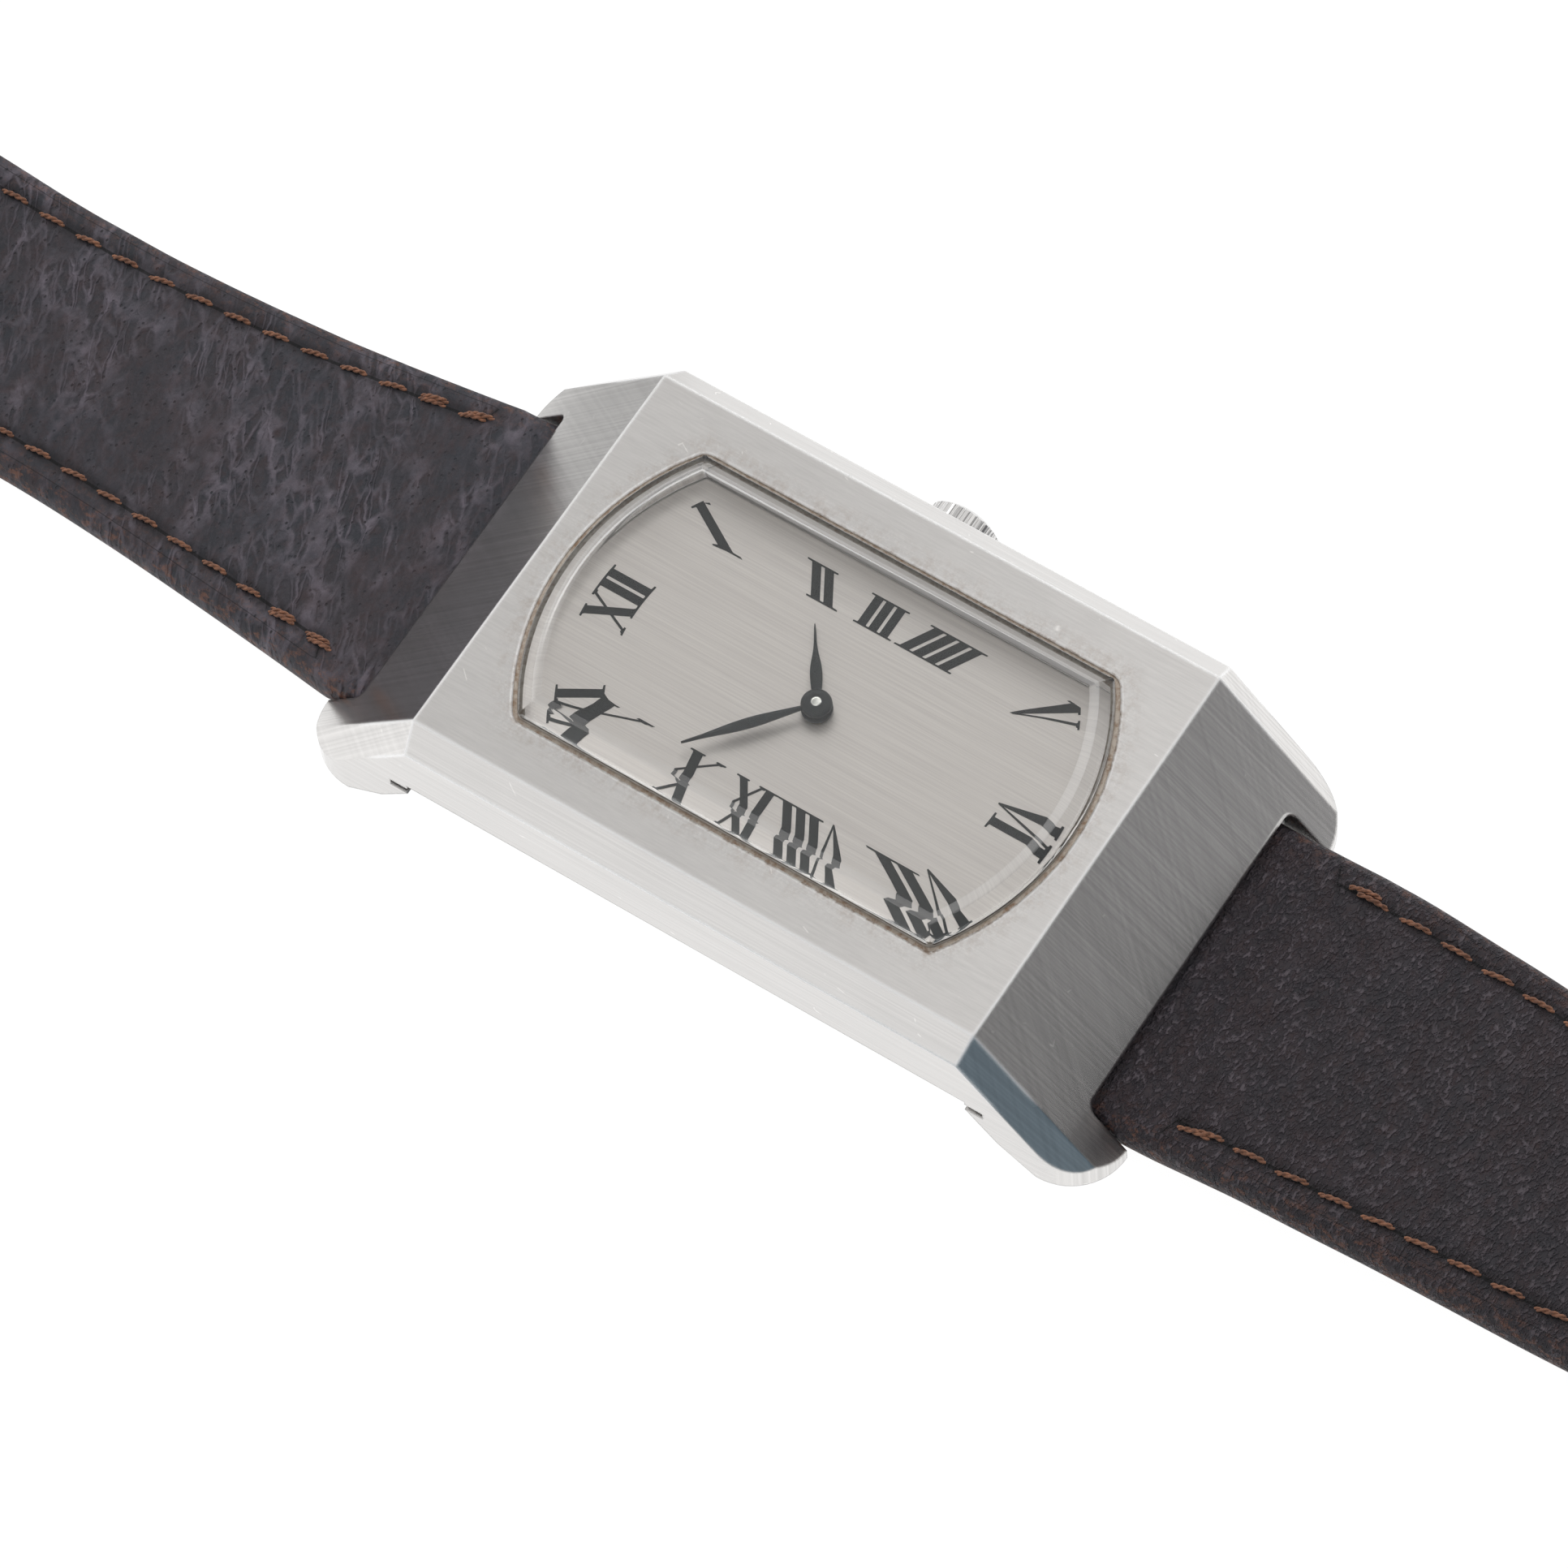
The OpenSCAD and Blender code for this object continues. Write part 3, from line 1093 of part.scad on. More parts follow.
module pallet_fork() {
  low = pallet_bridge_z + pallet_bridge_t - jewel_t;
  fork = pallet_at + polar(fork_l - 0.62, pallet_a);
  color([0.72, 0.72, 0.75]) {
    translate([0, 0, escape_z]) {
      capsule(pallet_at, fork, 0.12, wheel_t);
      for (s = [-1, 1]) {
        capsule(fork, pallet_at + polar(fork_l - 0.36, pallet_a + s * 3.2), 0.045, wheel_t);
        stone = escape_at + polar(escape_r + 0.02, pallet_a + s * 30);
        capsule(pallet_at, stone + polar(0.22, pallet_a + s * 30), 0.11, wheel_t);
        at(stone) rotate(pallet_a + s * 30) translate([-0.02, -0.09, 0]) cube([0.3, 0.18, wheel_t]);
      }
    }
    at(pallet_at) train_arbor(low, plate_z + jewel_t);
  }
}
module balance_wheel() {
  color([0.8, 0.68, 0.4]) at(balance_at, balance_z) {
    ring(balance_r, balance_r - balance_rim_w, balance_rim_t);
    difference() {
      union() {
        cylinder(r = 0.5, h = 0.2);
        for (i = [0 : 2]) rotate(i * 120)
          translate([0, -0.18, 0]) cube([balance_r - balance_rim_w / 2, 0.36, 0.14]);
      }
      translate([0, 0, -1]) cylinder(r = arbor_r, h = 3);
    }
  }
}
module balance_staff() {
  roller_z = escape_z - 0.16;
  color([0.65, 0.65, 0.68]) at(balance_at) {
    train_arbor(cock_z + cock_t - jewel_t, plate_z + jewel_t);
    translate([0, 0, roller_z]) cylinder(r = 0.6, h = 0.12);
    at(polar(0.46, pallet_a + 180), roller_z + 0.1) cylinder(r = 0.05, h = 0.24);
  }
}
module hairspring() {
  color([0.4, 0.45, 0.6]) at(balance_at, cock_z + cock_t + 0.08) {
    ring(0.42, arbor_r, 0.16);
    linear_extrude(height = 0.12) spiral_2d(0.4, hairspring_r, hairspring_turns, hairspring_w, 16);
  }
}
module ratchet_wheel() {
  color([0.75, 0.75, 0.77]) at(barrel_at, ratchet_z) difference() {
    gear(ratchet_m, ratchet_teeth, ratchet_t);
    translate([0, 0, -1]) cylinder(r = arbor_shaft_r, h = 3);
  }
}
module crown_wheel() {
  top = stem_z - winding_r + 0.05;
  ro = crown_ring_r + 0.1;
  a = bearing_of(barrel_at, crown_wheel_at);
  color([0.75, 0.75, 0.77]) at(crown_wheel_at) difference() {
    union() {
      translate([0, 0, ratchet_z])
        gear(ratchet_m, crown_teeth, ratchet_t, mesh_turn(ratchet_teeth, 0, crown_teeth, a));
      translate([0, 0, ratchet_z]) cylinder(r = ro, h = top - ratchet_z);
    }
    translate([0, 0, ratchet_z - 1]) cylinder(r = crown_ring_r - 0.4, h = far);
    for (i = [0 : 23]) rotate(i * 15 + 7.5) translate([0, -0.11, top - 0.16]) cube([far, 0.22, 1]);
  }
}
module click() {
  tip = barrel_at + polar(pitch_r(ratchet_m, ratchet_teeth) + 0.24, click_a + 12);
  color([0.6, 0.62, 0.66]) translate([0, 0, ratchet_z]) {
    at(click_pivot) cylinder(r = 0.4, h = ratchet_t - 0.03);
    capsule(click_pivot, tip, 0.1, ratchet_t - 0.03);
  }
}
module rotor() {
  low = rotor_z;
  top = rotor_z + rotor_rim_h;
  color([0.82, 0.74, 0.55]) difference() {
    union() {
      difference() {
        translate([0, 0, low]) ring(rotor_r, rotor_r - rotor_rim_w, rotor_rim_h);
        translate([-far, 0, low - 1]) cube([2 * far, far, rotor_rim_h + 2]);
      }
      difference() {
        translate([0, 0, top - rotor_plate_t]) cylinder(r = rotor_r - rotor_rim_w + e, h = rotor_plate_t);
        translate([-far, 0, top - 1]) cube([2 * far, far, 3]);
        for (s = [-1, 1]) at(polar(4.6, -90 + s * 32), top - 2) cylinder(r = 1.3, h = 4);
      }
      translate([0, 0, top - rotor_plate_t]) cylinder(r = 1.9, h = rotor_plate_t);
      translate([0, 0, top - rotor_plate_t])
        cylinder(r = rotor_hub_r, h = auto_top + 0.02 - top + rotor_plate_t);
    }
    translate([0, 0, low - 1]) cylinder(r = 0.3, h = 5);
  }
}
module rotor_gear() {
  low = rotor_z + rotor_rim_h - rotor_plate_t;
  color([0.75, 0.68, 0.45]) {
    translate([0, 0, auto_wheel_z]) gear(auto_m, rotor_teeth, auto_wheel_t);
    translate([0, 0, low]) cylinder(r = 0.3, h = auto_wheel_z - low + e);
    translate([0, 0, auto_top + 0.02]) cylinder(r = rotor_hub_r, h = 0.03);
  }
}
module auto_arbor(l) { translate([0, 0, auto_z + 0.12]) cylinder(r = arbor_r, h = l); }
module reverser_wheel_a() {
  color([0.75, 0.68, 0.45]) at(reverser_a_at) {
    translate([0, 0, auto_wheel_z]) gear(auto_m, reverser_teeth, auto_wheel_t, reverser_a_turn);
    auto_arbor(bridge_z - auto_z - 0.2);
  }
}
module reverser_wheel_b() {
  color([0.75, 0.68, 0.45]) at(reverser_b_at) {
    translate([0, 0, auto_wheel_z]) gear(auto_m, reverser_teeth, auto_wheel_t, reverser_b_turn);
    translate([0, 0, auto_driving_z - 0.04]) gear(driving_m, reverser_leaves, auto_wheel_t + 0.04);
    auto_arbor(bridge_z - auto_z - 0.2);
  }
}
module driving_wheel() {
  color([0.75, 0.68, 0.45]) at(driving_at) {
    translate([0, 0, auto_driving_z])
      gear(driving_m, driving_teeth, auto_wheel_t,
        mesh_turn(reverser_leaves, 0, driving_teeth, bearing_of(reverser_b_at, driving_at)));
    translate([0, 0, auto_driving_z])
      gear(ratchet_m, driving_small, ratchet_z + ratchet_t - auto_driving_z,
        mesh_turn(ratchet_teeth, 0, driving_small, 172));
    auto_arbor(bridge_z - auto_z - 0.2);
  }
}
module spring_bars() {
  tip = lug_gap / 2 + bar_hole_l - 0.1;
  body = lug_gap / 2 - 0.1;
  color([0.7, 0.7, 0.72]) for (s = [-1, 1]) translate([0, s * bar_y, bar_z]) {
    rod_x(bar_d / 2, -body, body);
    rod_x(bar_tip_d / 2, -tip, tip);
  }
}
// Plan of a strap half from the bar to y1, narrowed by ny, as upright walls
module strap_plan(ny, y1, tip = 0) {
  y0 = bar_y + 4;
  end_hw = strap_end_w / 2;
  steps = 16;
  taper = [for (i = [0 : steps]) [end_hw + (strap_hw - end_hw) * pow(1 - i / steps, taper_curve),
    y0 + (ny - y0) * i / steps]];
  end = tip > 0 ? [for (i = [0 : steps]) [end_hw * cos(90 * i / steps), y1 - tip + tip * sin(90 * i / steps)]]
    : [[end_hw, y1]];
  half = concat([[strap_hw, 0]], taper, end);
  n = len(half);
  linear_extrude(height = far, center = true)
    polygon(concat(half, [for (i = [n - 1 : -1 : 0]) if (half[i].x > e) [-half[i].x, half[i].y]]));
}
module bar_loop() {
  translate([0, bar_y, bar_z]) rod_x(strap_case_t / 2, -strap_hw, strap_hw);
}
module bar_bore() {
  translate([0, bar_y, bar_z]) rod_x(bar_d / 2 + bar_gap, -strap_hw - 1, strap_hw + 1);
}
module strap_12() {
  lift_end = lift_y + lift_l;
  high = keeper_z;
  color([0.2, 0.16, 0.15]) difference() {
    intersection() {
      union() {
        bar_loop();
        along_x(lug_gap) polygon([[bar_y, strap_low], [bar_y + 5, 0], [lift_y, 0], [lift_end, high],
          [buckle_y, high], [buckle_y, high + strap_t], [lift_end, high + strap_t], [lift_y, strap_t],
          [thin_y, strap_t], [bar_y, strap_low + strap_case_t]]);
        translate([0, buckle_y, buckle_z]) rod_x(strap_t / 2, -strap_end_w / 2, strap_end_w / 2);
      }
      strap_plan(narrow_12_y, buckle_y + strap_t);
    }
    bar_bore();
    translate([0, buckle_y, buckle_z]) rod_x(buckle_bar_d / 2 + bar_gap, -strap_hw, strap_hw);
    // Slot for the tongue
    translate([-tongue_w / 2 - tongue_gap, buckle_y - 3, 0])
      cube([tongue_w + 2 * tongue_gap, 3 + strap_t, far]);
  }
}
module strap_6() {
  color([0.2, 0.16, 0.15]) mirror([0, 1, 0]) difference() {
    intersection() {
      union() {
        bar_loop();
        along_x(lug_gap) polygon([[bar_y, strap_low], [bar_y + 5, 0], [tail_y, 0], [tail_y, strap_t],
          [thin_y, strap_t], [bar_y, strap_low + strap_case_t]]);
      }
      strap_plan(narrow_6_y, tail_y, tip_l);
    }
    bar_bore();
    for (i = [0 : strap_holes - 1]) translate([0, tail_y - hole_start - i * hole_pitch, -1])
      cylinder(r = hole_r, h = strap_t + 2);
  }
}
module keeper(y) {
  hw = strap_end_w / 2 + keeper_side_gap;
  top = keeper_z + 2 * strap_t + keeper_spare;
  r = 0.8;
  translate([0, y, 0]) along_y(keeper_l) difference() {
    union() {
      translate([-hw - keeper_t + r, 0]) square([2 * (hw + keeper_t - r), top + keeper_t]);
      translate([-hw - keeper_t, r]) square([2 * (hw + keeper_t), top + keeper_t - 2 * r]);
      for (x = [-1, 1], z = [r, top + keeper_t - r]) translate([x * (hw + keeper_t - r), z]) circle(r = r);
    }
    translate([-hw, keeper_t]) square([2 * hw, top - keeper_t]);
  }
}
module fixed_keeper() { color([0.18, 0.14, 0.13]) keeper(fixed_keeper_y); }
module free_keeper() { color([0.18, 0.14, 0.13]) keeper(free_keeper_y); }
// The buckle lies along its bar, sloping down to the table
module on_buckle_bar() { translate([0, buckle_y, buckle_z]) rotate([-buckle_drop, 0, 0]) children(); }
module buckle_frame() {
  hw = buckle_in + buckle_side_w;
  r = buckle_corner_r;
  color([0.78, 0.78, 0.77]) on_buckle_bar() difference() {
    union() {
      translate([0, 0, -buckle_t / 2]) linear_extrude(height = buckle_t) difference() {
        union() {
          translate([-hw, 0]) square([2 * hw, buckle_l - r]);
          translate([r - hw, 0]) square([2 * (hw - r), buckle_l]);
          for (x = [-1, 1]) translate([x * (hw - r), buckle_l - r]) circle(r = r);
        }
        translate([-buckle_in, -1]) square([2 * buckle_in, buckle_l - buckle_front_w + 1]);
      }
      for (s = [0, 1]) mirror([s, 0, 0]) rod_x(buckle_t / 2, buckle_in, hw);
    }
    rod_x(buckle_bar_d / 2, -hw + 0.3, hw - 0.3);
  }
}
module buckle_bar() {
  l = buckle_in + buckle_side_w - 0.3;
  color([0.7, 0.7, 0.72]) on_buckle_bar() rod_x(buckle_bar_d / 2, -l, l);
}
module buckle_tongue() {
  low = buckle_t / 2 + tongue_rest_gap;
  front = buckle_l - buckle_front_w;
  color([0.78, 0.78, 0.77]) on_buckle_bar() difference() {
    union() {
      rod_x(buckle_bar_d / 2 + 0.4, -tongue_w / 2, tongue_w / 2);
      along_x(tongue_w) polygon([[0, -0.35], [front - 0.6, low], [buckle_l + 0.2, low],
        [buckle_l + 0.2, low + tongue_t * 0.6], [buckle_l - 0.6, low + tongue_t],
        [front - 0.9, low + tongue_t], [0, 0.6]]);
    }
    rod_x(buckle_bar_d / 2 + bar_gap, -tongue_w, tongue_w);
  }
}

case_middle();
crystal();
crystal_gasket();
case_back();
case_back_gasket();
crown_tube();
movement_holder();
holding_clamps();
clamp_screws();
dial();
mainplate();
barrel_bridge();
train_bridge();
pallet_bridge();
balance_cock();
bridge_screws();
plate_jewels();
bridge_jewels();
automatic_bridge();
rotor_bearing();
crown();
crown_gasket();
winding_stem();
winding_pinion();
sliding_pinion();
setting_lever();
yoke();
setting_wheel();
minute_hand();
hour_hand();
cannon_pinion();
minute_wheel();
hour_wheel();
mainspring_barrel();
barrel_arbor();
mainspring();
centre_wheel();
third_wheel();
fourth_wheel();
escape_wheel();
pallet_fork();
balance_wheel();
balance_staff();
hairspring();
ratchet_wheel();
crown_wheel();
click();
rotor();
rotor_gear();
reverser_wheel_a();
reverser_wheel_b();
driving_wheel();
spring_bars();
strap_12();
strap_6();
buckle_frame();
buckle_tongue();
buckle_bar();
fixed_keeper();
free_keeper();
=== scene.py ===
# %% [markdown]
# A rectangular automatic watch on a leather strap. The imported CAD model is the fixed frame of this
# scene: every piece has its real place and size there. This script gives each piece its finish, and
# makes anew what solids can't show well: the leather, the stitches, the printed dial and the hands.

# %% Load the frame
import math

import bmesh
import bpy
from mathutils import Matrix, Vector, noise


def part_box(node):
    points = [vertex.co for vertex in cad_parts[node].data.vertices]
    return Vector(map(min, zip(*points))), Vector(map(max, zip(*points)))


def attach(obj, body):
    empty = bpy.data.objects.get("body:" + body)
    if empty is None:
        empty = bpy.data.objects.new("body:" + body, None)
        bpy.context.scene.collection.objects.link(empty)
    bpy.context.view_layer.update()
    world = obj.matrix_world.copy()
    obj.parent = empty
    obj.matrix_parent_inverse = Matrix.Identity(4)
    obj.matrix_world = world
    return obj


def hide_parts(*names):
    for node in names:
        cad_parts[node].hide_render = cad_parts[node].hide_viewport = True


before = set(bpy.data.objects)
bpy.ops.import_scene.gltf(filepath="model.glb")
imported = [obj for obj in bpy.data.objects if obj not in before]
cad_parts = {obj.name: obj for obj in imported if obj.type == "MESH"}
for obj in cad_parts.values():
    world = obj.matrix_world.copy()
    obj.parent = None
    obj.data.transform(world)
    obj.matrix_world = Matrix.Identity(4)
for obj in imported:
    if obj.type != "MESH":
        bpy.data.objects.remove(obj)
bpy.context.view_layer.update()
MM = 0.001

# %% [markdown]
# Colours are written as sRGB hex values, as a paint chart gives them. Shaders work in linear light,
# so one function turns the hex value into linear numbers. Nodes are added to the tree that was
# opened last. Calculating with a Wire adds Math nodes, so a shader is written down as a formula.

# %% Colour and node helpers
def colour(hex_code):
    def linear(c):
        return c / 12.92 if c <= 0.04045 else ((c + 0.055) / 1.055) ** 2.4
    return [linear(int(hex_code[i:i + 2], 16) / 255) for i in (1, 3, 5)] + [1]


def feed(node, inputs):
    """Gives a node's sockets their values, or links them."""
    for name, value in inputs.items():
        value = value.outputs[0] if isinstance(value, bpy.types.Node) else getattr(value, "socket", value)
        if isinstance(value, bpy.types.NodeSocket):
            tree.links.new(value, node.inputs[name])
        else:
            node.inputs[name].default_value = value


def add(kind, inputs=None, **settings):
    made = tree.nodes.new(kind)
    for name, value in settings.items():
        setattr(made, name, value)
    feed(made, inputs or {})
    return made


def wire(kind, inputs=None, output=0, **settings):
    """Adds one node and returns one of its outputs."""
    return Wire(add(kind, inputs, **settings).outputs[output])


def maths(what, a, b=0.0):
    return wire("ShaderNodeMath", {0: a, 1: b, 2: 0.0}, operation=what)


class Wire:
    """One output of a node, to calculate with."""

    def __init__(self, socket):
        self.socket = socket

    __add__ = lambda self, other: maths("ADD", self, other)
    __radd__ = lambda self, other: maths("ADD", other, self)
    __sub__ = lambda self, other: maths("SUBTRACT", self, other)
    __rsub__ = lambda self, other: maths("SUBTRACT", other, self)
    __mul__ = lambda self, other: maths("MULTIPLY", self, other)
    __truediv__ = lambda self, other: maths("DIVIDE", self, other)
    __pow__ = lambda self, other: maths("POWER", self, other)
    __abs__ = lambda self: maths("ABSOLUTE", self)


def open_tree(owner):
    """Empties the tree of a material or the world. Later nodes are added to it."""
    global tree
    owner.use_nodes = True
    tree = owner.node_tree
    tree.nodes.clear()
    return owner


def empty_material(name):
    return open_tree(bpy.data.materials.new(name))


def new_material(name, sockets):
    """A material with one Principled shader. Returns both."""
    made = empty_material(name)
    shader = add("ShaderNodeBsdfPrincipled", sockets)
    add("ShaderNodeOutputMaterial", {"Surface": shader})
    return made, shader


def end_in_mix(factor, a, b):
    mixed = add("ShaderNodeMixShader", {0: factor, 1: a, 2: b})
    add("ShaderNodeOutputMaterial", {"Surface": mixed})


def finish_node(material, *names):
    """Gives CAD nodes their material, without touching their shape."""
    for name in names:
        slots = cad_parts[name].data.materials
        slots.clear()
        slots.append(material)


def new_object(name, data):
    made = bpy.data.objects.new(name, data)
    bpy.context.scene.collection.objects.link(made)
    return made


def mesh_object(shape, name):
    """Closes a bmesh into an object at the origin."""
    mesh = bpy.data.meshes.new(name)
    shape.to_mesh(mesh)
    shape.free()
    return new_object(name, mesh)


print("linear value of mid grey:", round(colour("#808080")[0], 3))

# %% [markdown]
# Patterns are scaled from real sizes. A noise texture's feature is about 1/scale long, in the unit
# of its coordinates, so the coordinates are turned into millimetres first. A different size along
# each axis draws the pattern out, as a brushing wheel draws out its lines.

# %% Pattern helpers
def split(vector):
    """The x, y and z of a vector."""
    return [Wire(socket) for socket in add("ShaderNodeSeparateXYZ", {0: vector}).outputs]


def in_mm(size=1, turn=(0, 0, 0)):
    """Object coordinates, divided by a size in millimetres: one number, or one for each axis."""
    size = [size] * 3 if isinstance(size, (int, float)) else size
    turned = wire("ShaderNodeMapping", {
        "Vector": wire("ShaderNodeTexCoord", output="Object"), "Rotation": [math.radians(a) for a in turn]})
    return wire("ShaderNodeMapping", {"Vector": turned, "Scale": [1 / (MM * s) for s in size]})


def grain(size, detail=2, roughness=0.5, turn=(0, 0, 0), output=0):
    """Noise whose features have the given size in millimetres."""
    return wire("ShaderNodeTexNoise", {
        "Vector": in_mm(size, turn), "Scale": 1, "Detail": detail, "Roughness": roughness}, output)


def cells(vector, feature, randomness=1):
    """Distance to the middle of the nearest cell (F1), or to its edge."""
    return wire("ShaderNodeTexVoronoi", {"Vector": vector, "Scale": 1, "Randomness": randomness}, feature=feature)


def rings(size, distortion, detail_scale):
    """Rings about Z, as a brush leaves them on a turning piece: a Wave texture."""
    return wire("ShaderNodeTexWave", {
        "Vector": in_mm(size), "Scale": 1, "Distortion": distortion, "Detail": 3,
        "Detail Scale": detail_scale}, wave_type="RINGS", rings_direction="Z")


def span(value, low, high, to_low=0, to_high=1, shape="LINEAR"):
    """Stretches the values between low and high to a new range."""
    return wire("ShaderNodeMapRange", {
        "Value": value, "From Min": low, "From Max": high, "To Min": to_low, "To Max": to_high},
        interpolation_type=shape)


def smooth(value, low, high, to_low=0, to_high=1):
    """As span does, with a soft start and a soft end."""
    return span(value, low, high, to_low, to_high, "SMOOTHSTEP")


def mix(factor, a, b):
    return wire("ShaderNodeMix", {0: factor, 2: a, 3: b}, data_type="FLOAT")


def blend(factor, a, b, how="MIX"):
    """Mixes two colours, each a wire or a hex value."""
    a, b = (colour(c) if isinstance(c, str) else c for c in (a, b))
    return wire("ShaderNodeMix", {0: factor, 6: a, 7: b}, 2, data_type="RGBA", blend_type=how,
                clamp_factor=how == "MIX")


def scaled(vector, factor):
    return wire("ShaderNodeVectorMath", {0: vector, "Scale": factor}, operation="SCALE")


def cosine(a, b):
    return wire("ShaderNodeVectorMath", {0: a, 1: b}, "Value", operation="DOT_PRODUCT")


def ray(kind):
    """1 for one kind of ray, 0 for all others."""
    return wire("ShaderNodeLightPath", output=f"Is {kind} Ray")


def bump(height, depth_mm, strength=1, normal=None):
    """Relief of the given depth in millimetres where height goes from 0 to 1."""
    sockets = {"Height": height, "Distance": depth_mm * MM, "Strength": strength}
    if normal:
        sockets["Normal"] = normal
    return wire("ShaderNodeBump", sockets)


def mottled(name, sockets, pattern, low, high, *tones):
    """A material that wanders between two tones. pattern holds the size and detail of its grain."""
    made, shader = new_material(name, sockets)
    feed(shader, {"Base Color": blend(span(grain(*pattern), low, high), *tones)})
    return made


print("a 0.1 mm brushing line has scale", 1 / (0.1 * MM))

# %% [markdown]
# The camera stands where the photographer's stood: a long lens, from the side of 7 o'clock and high
# above, turned so that the watch lies aslant. The three directions come from the photograph's own
# edges, so the case's corners fall where they do in the picture.

# %% Camera
camera_data = bpy.data.cameras.new("camera")
camera_data.sensor_width = 36
camera_data.lens = 200.655
camera_data.clip_start = 0.01
camera = new_object("camera", camera_data)
right = Vector((0.54234, -0.83847, -0.05324))
down = Vector((-0.7664, -0.46777, -0.44025))
ahead = Vector((0.34424, 0.27957, -0.89629))
turned = Matrix((right, -down, -ahead)).transposed().to_4x4()
camera.matrix_world = Matrix.Translation((-0.16095, -0.12790, 0.41621)) @ turned
bpy.context.scene.camera = camera
print("camera height:", round(camera.location.z, 3), "m, lens", camera_data.lens, "mm")

# %% [markdown]
# Metal shows its surroundings more than its own colour. The studio is a sphere of light: white all
# round, less from above, and falling off from 6 to 12 o'clock. A dark card low on the 6 o'clock side
# makes the lower slope of the case grey, and a blue-grey one towards 7 o'clock colours the chamfer
# there. A bright strip behind the watch draws the thin lights along the crystal's edge. The camera
# itself sees plain white.

# %% Studio light
bpy.context.scene.world = open_tree(bpy.data.worlds.new("studio"))
sky = wire("ShaderNodeTexCoord", output="Generated")
sky_x, sky_y, sky_z = split(sky)


def card_in(direction, near, full):
    """How much of a round card is seen: 1 within its middle, 0 outside, by the cosine to it."""
    return smooth(cosine(sky, Vector(direction).normalized()), near, full)


overhead = smooth(sky_z, 0.25, 0.9)
falloff = span(sky_y, -0.1, 0.65, 1.4, 0.56) * span(sky_x, 0.15, 0.55, 0.85, 1.15)
tent = scaled(blend(overhead, "#FFFFFF", "#DAD9D8"), mix(overhead, 1.0, falloff))
strip = smooth(sky_z, 0.47, 0.53) * smooth(sky_z, 0.66, 0.6) * smooth(sky_x, 0.1, 0.3) * smooth(sky_y, 0.05, 0.25)
tent = blend(strip * 1.6, tent, "#FFFFFF", "ADD")
dark_card = blend(span(sky_x, 0.28, 0.42), "#5A5A5A", "#77777A")
surroundings = blend(card_in((-0.12, -0.97, 0.2), 0.58, 0.88), tent, dark_card)
surroundings = blend(card_in((-0.69, -0.72, 0.05), 0.86, 0.95), surroundings, "#566A78")
seen = blend(ray("Camera"), surroundings, "#FFFFFF")
add("ShaderNodeOutputWorld", {"Surface": add("ShaderNodeBackground", {"Color": seen, "Strength": 1})})

# A square lamp faces the watch. Metal mirrors the studio, not the lamp itself
key_light = bpy.data.lights.new("key", "AREA")
key_light.shape = "RECTANGLE"
key_light.size = key_light.size_y = 0.3
key_light.energy = 1.1
lamp = new_object("key", key_light)
lamp.location = (0.26, 0.17, 0.6)
lamp.rotation_euler = (-lamp.location).to_track_quat("-Z", "Y").to_euler()
lamp.visible_glossy = lamp.visible_transmission = False

# %% [markdown]
# The table is a wide white sheet. Its white comes from its own material where the camera, metal or
# glass sees it, so that no lamp has to burn the watch out. A part of it is plain white paper, which
# keeps the soft shadow under the case and the strap. In a mirror it carries painted reflections: it is
# painted greyer beyond 1 o'clock, and blue-grey beyond 7 o'clock in place of a card, outside the picture.

# %% Table
TABLE_R = 4        # in metres
TABLE_GAP = 0.02   # how far it lies below the watch, in mm, so that the two never touch
shape = bmesh.new()
bmesh.ops.create_circle(shape, cap_ends=True, segments=96, radius=TABLE_R)
table = mesh_object(shape, "table")
table.data.transform(Matrix.Translation((0, 0, -TABLE_GAP * MM)))
table.data.materials.append(empty_material("white_paper_sweep"))
white_share = maths("MINIMUM", ray("Camera") + ray("Glossy") + ray("Transmission"), 1) * 0.9
x, y, _ = split(in_mm())
# Painted reflections: patches that only metal and glass see, grey beyond 1 o'clock, blue-grey beyond 7
painted_reflection = blend(smooth(x, 2, 14) * smooth(y, 22, 32), "#FFFFFF", "#B2B2B2")
painted_reflection = blend(smooth(x + y, -37, -47) * smooth(x, -14, -19), painted_reflection, "#4C606D")
tone = blend(ray("Glossy"), "#FFFFFF", painted_reflection)
sheet = add("ShaderNodeBsdfDiffuse", {"Color": colour("#F4F4F4")})
glow = add("ShaderNodeEmission", {"Color": tone, "Strength": 1.08})
end_in_mix(white_share, sheet, glow)
print("table radius:", TABLE_R, "m")

# %% [markdown]
# The case is stainless steel, ground on a belt: the slopes at 12 and 6 show straight lines down the
# slope, crossed by finer ones, and the long sides are brushed along their length. The top is a fine
# satin. Real belt lines are about 0.02 mm wide, too fine for the picture, so they are drawn 0.12 to
# 0.2 mm wide. Years on a wrist leave hairline scratches and brown dirt in the groove round the crystal.
# The edges get a painted highlight of whiter steel, and the top a painted falloff, lighter towards 6.

# %% Brushed case steel
WINDOW_HALF, WINDOW_R = 9.25, 15.85   # half width and end radius of the window, in mm
CASE_TONE = "#DCDAD8"


def steel(name, base, roughness, edge_mm):
    """Bare steel with softened edges: the Bevel node rounds what the eye sees, not the mesh."""
    made, shader = new_material(name, {"Base Color": colour(base), "Metallic": 1, "Roughness": roughness})
    soft_edge = wire("ShaderNodeBevel", {"Radius": edge_mm * MM}, samples=6)
    feed(shader, {"Normal": soft_edge})
    return made, shader, soft_edge


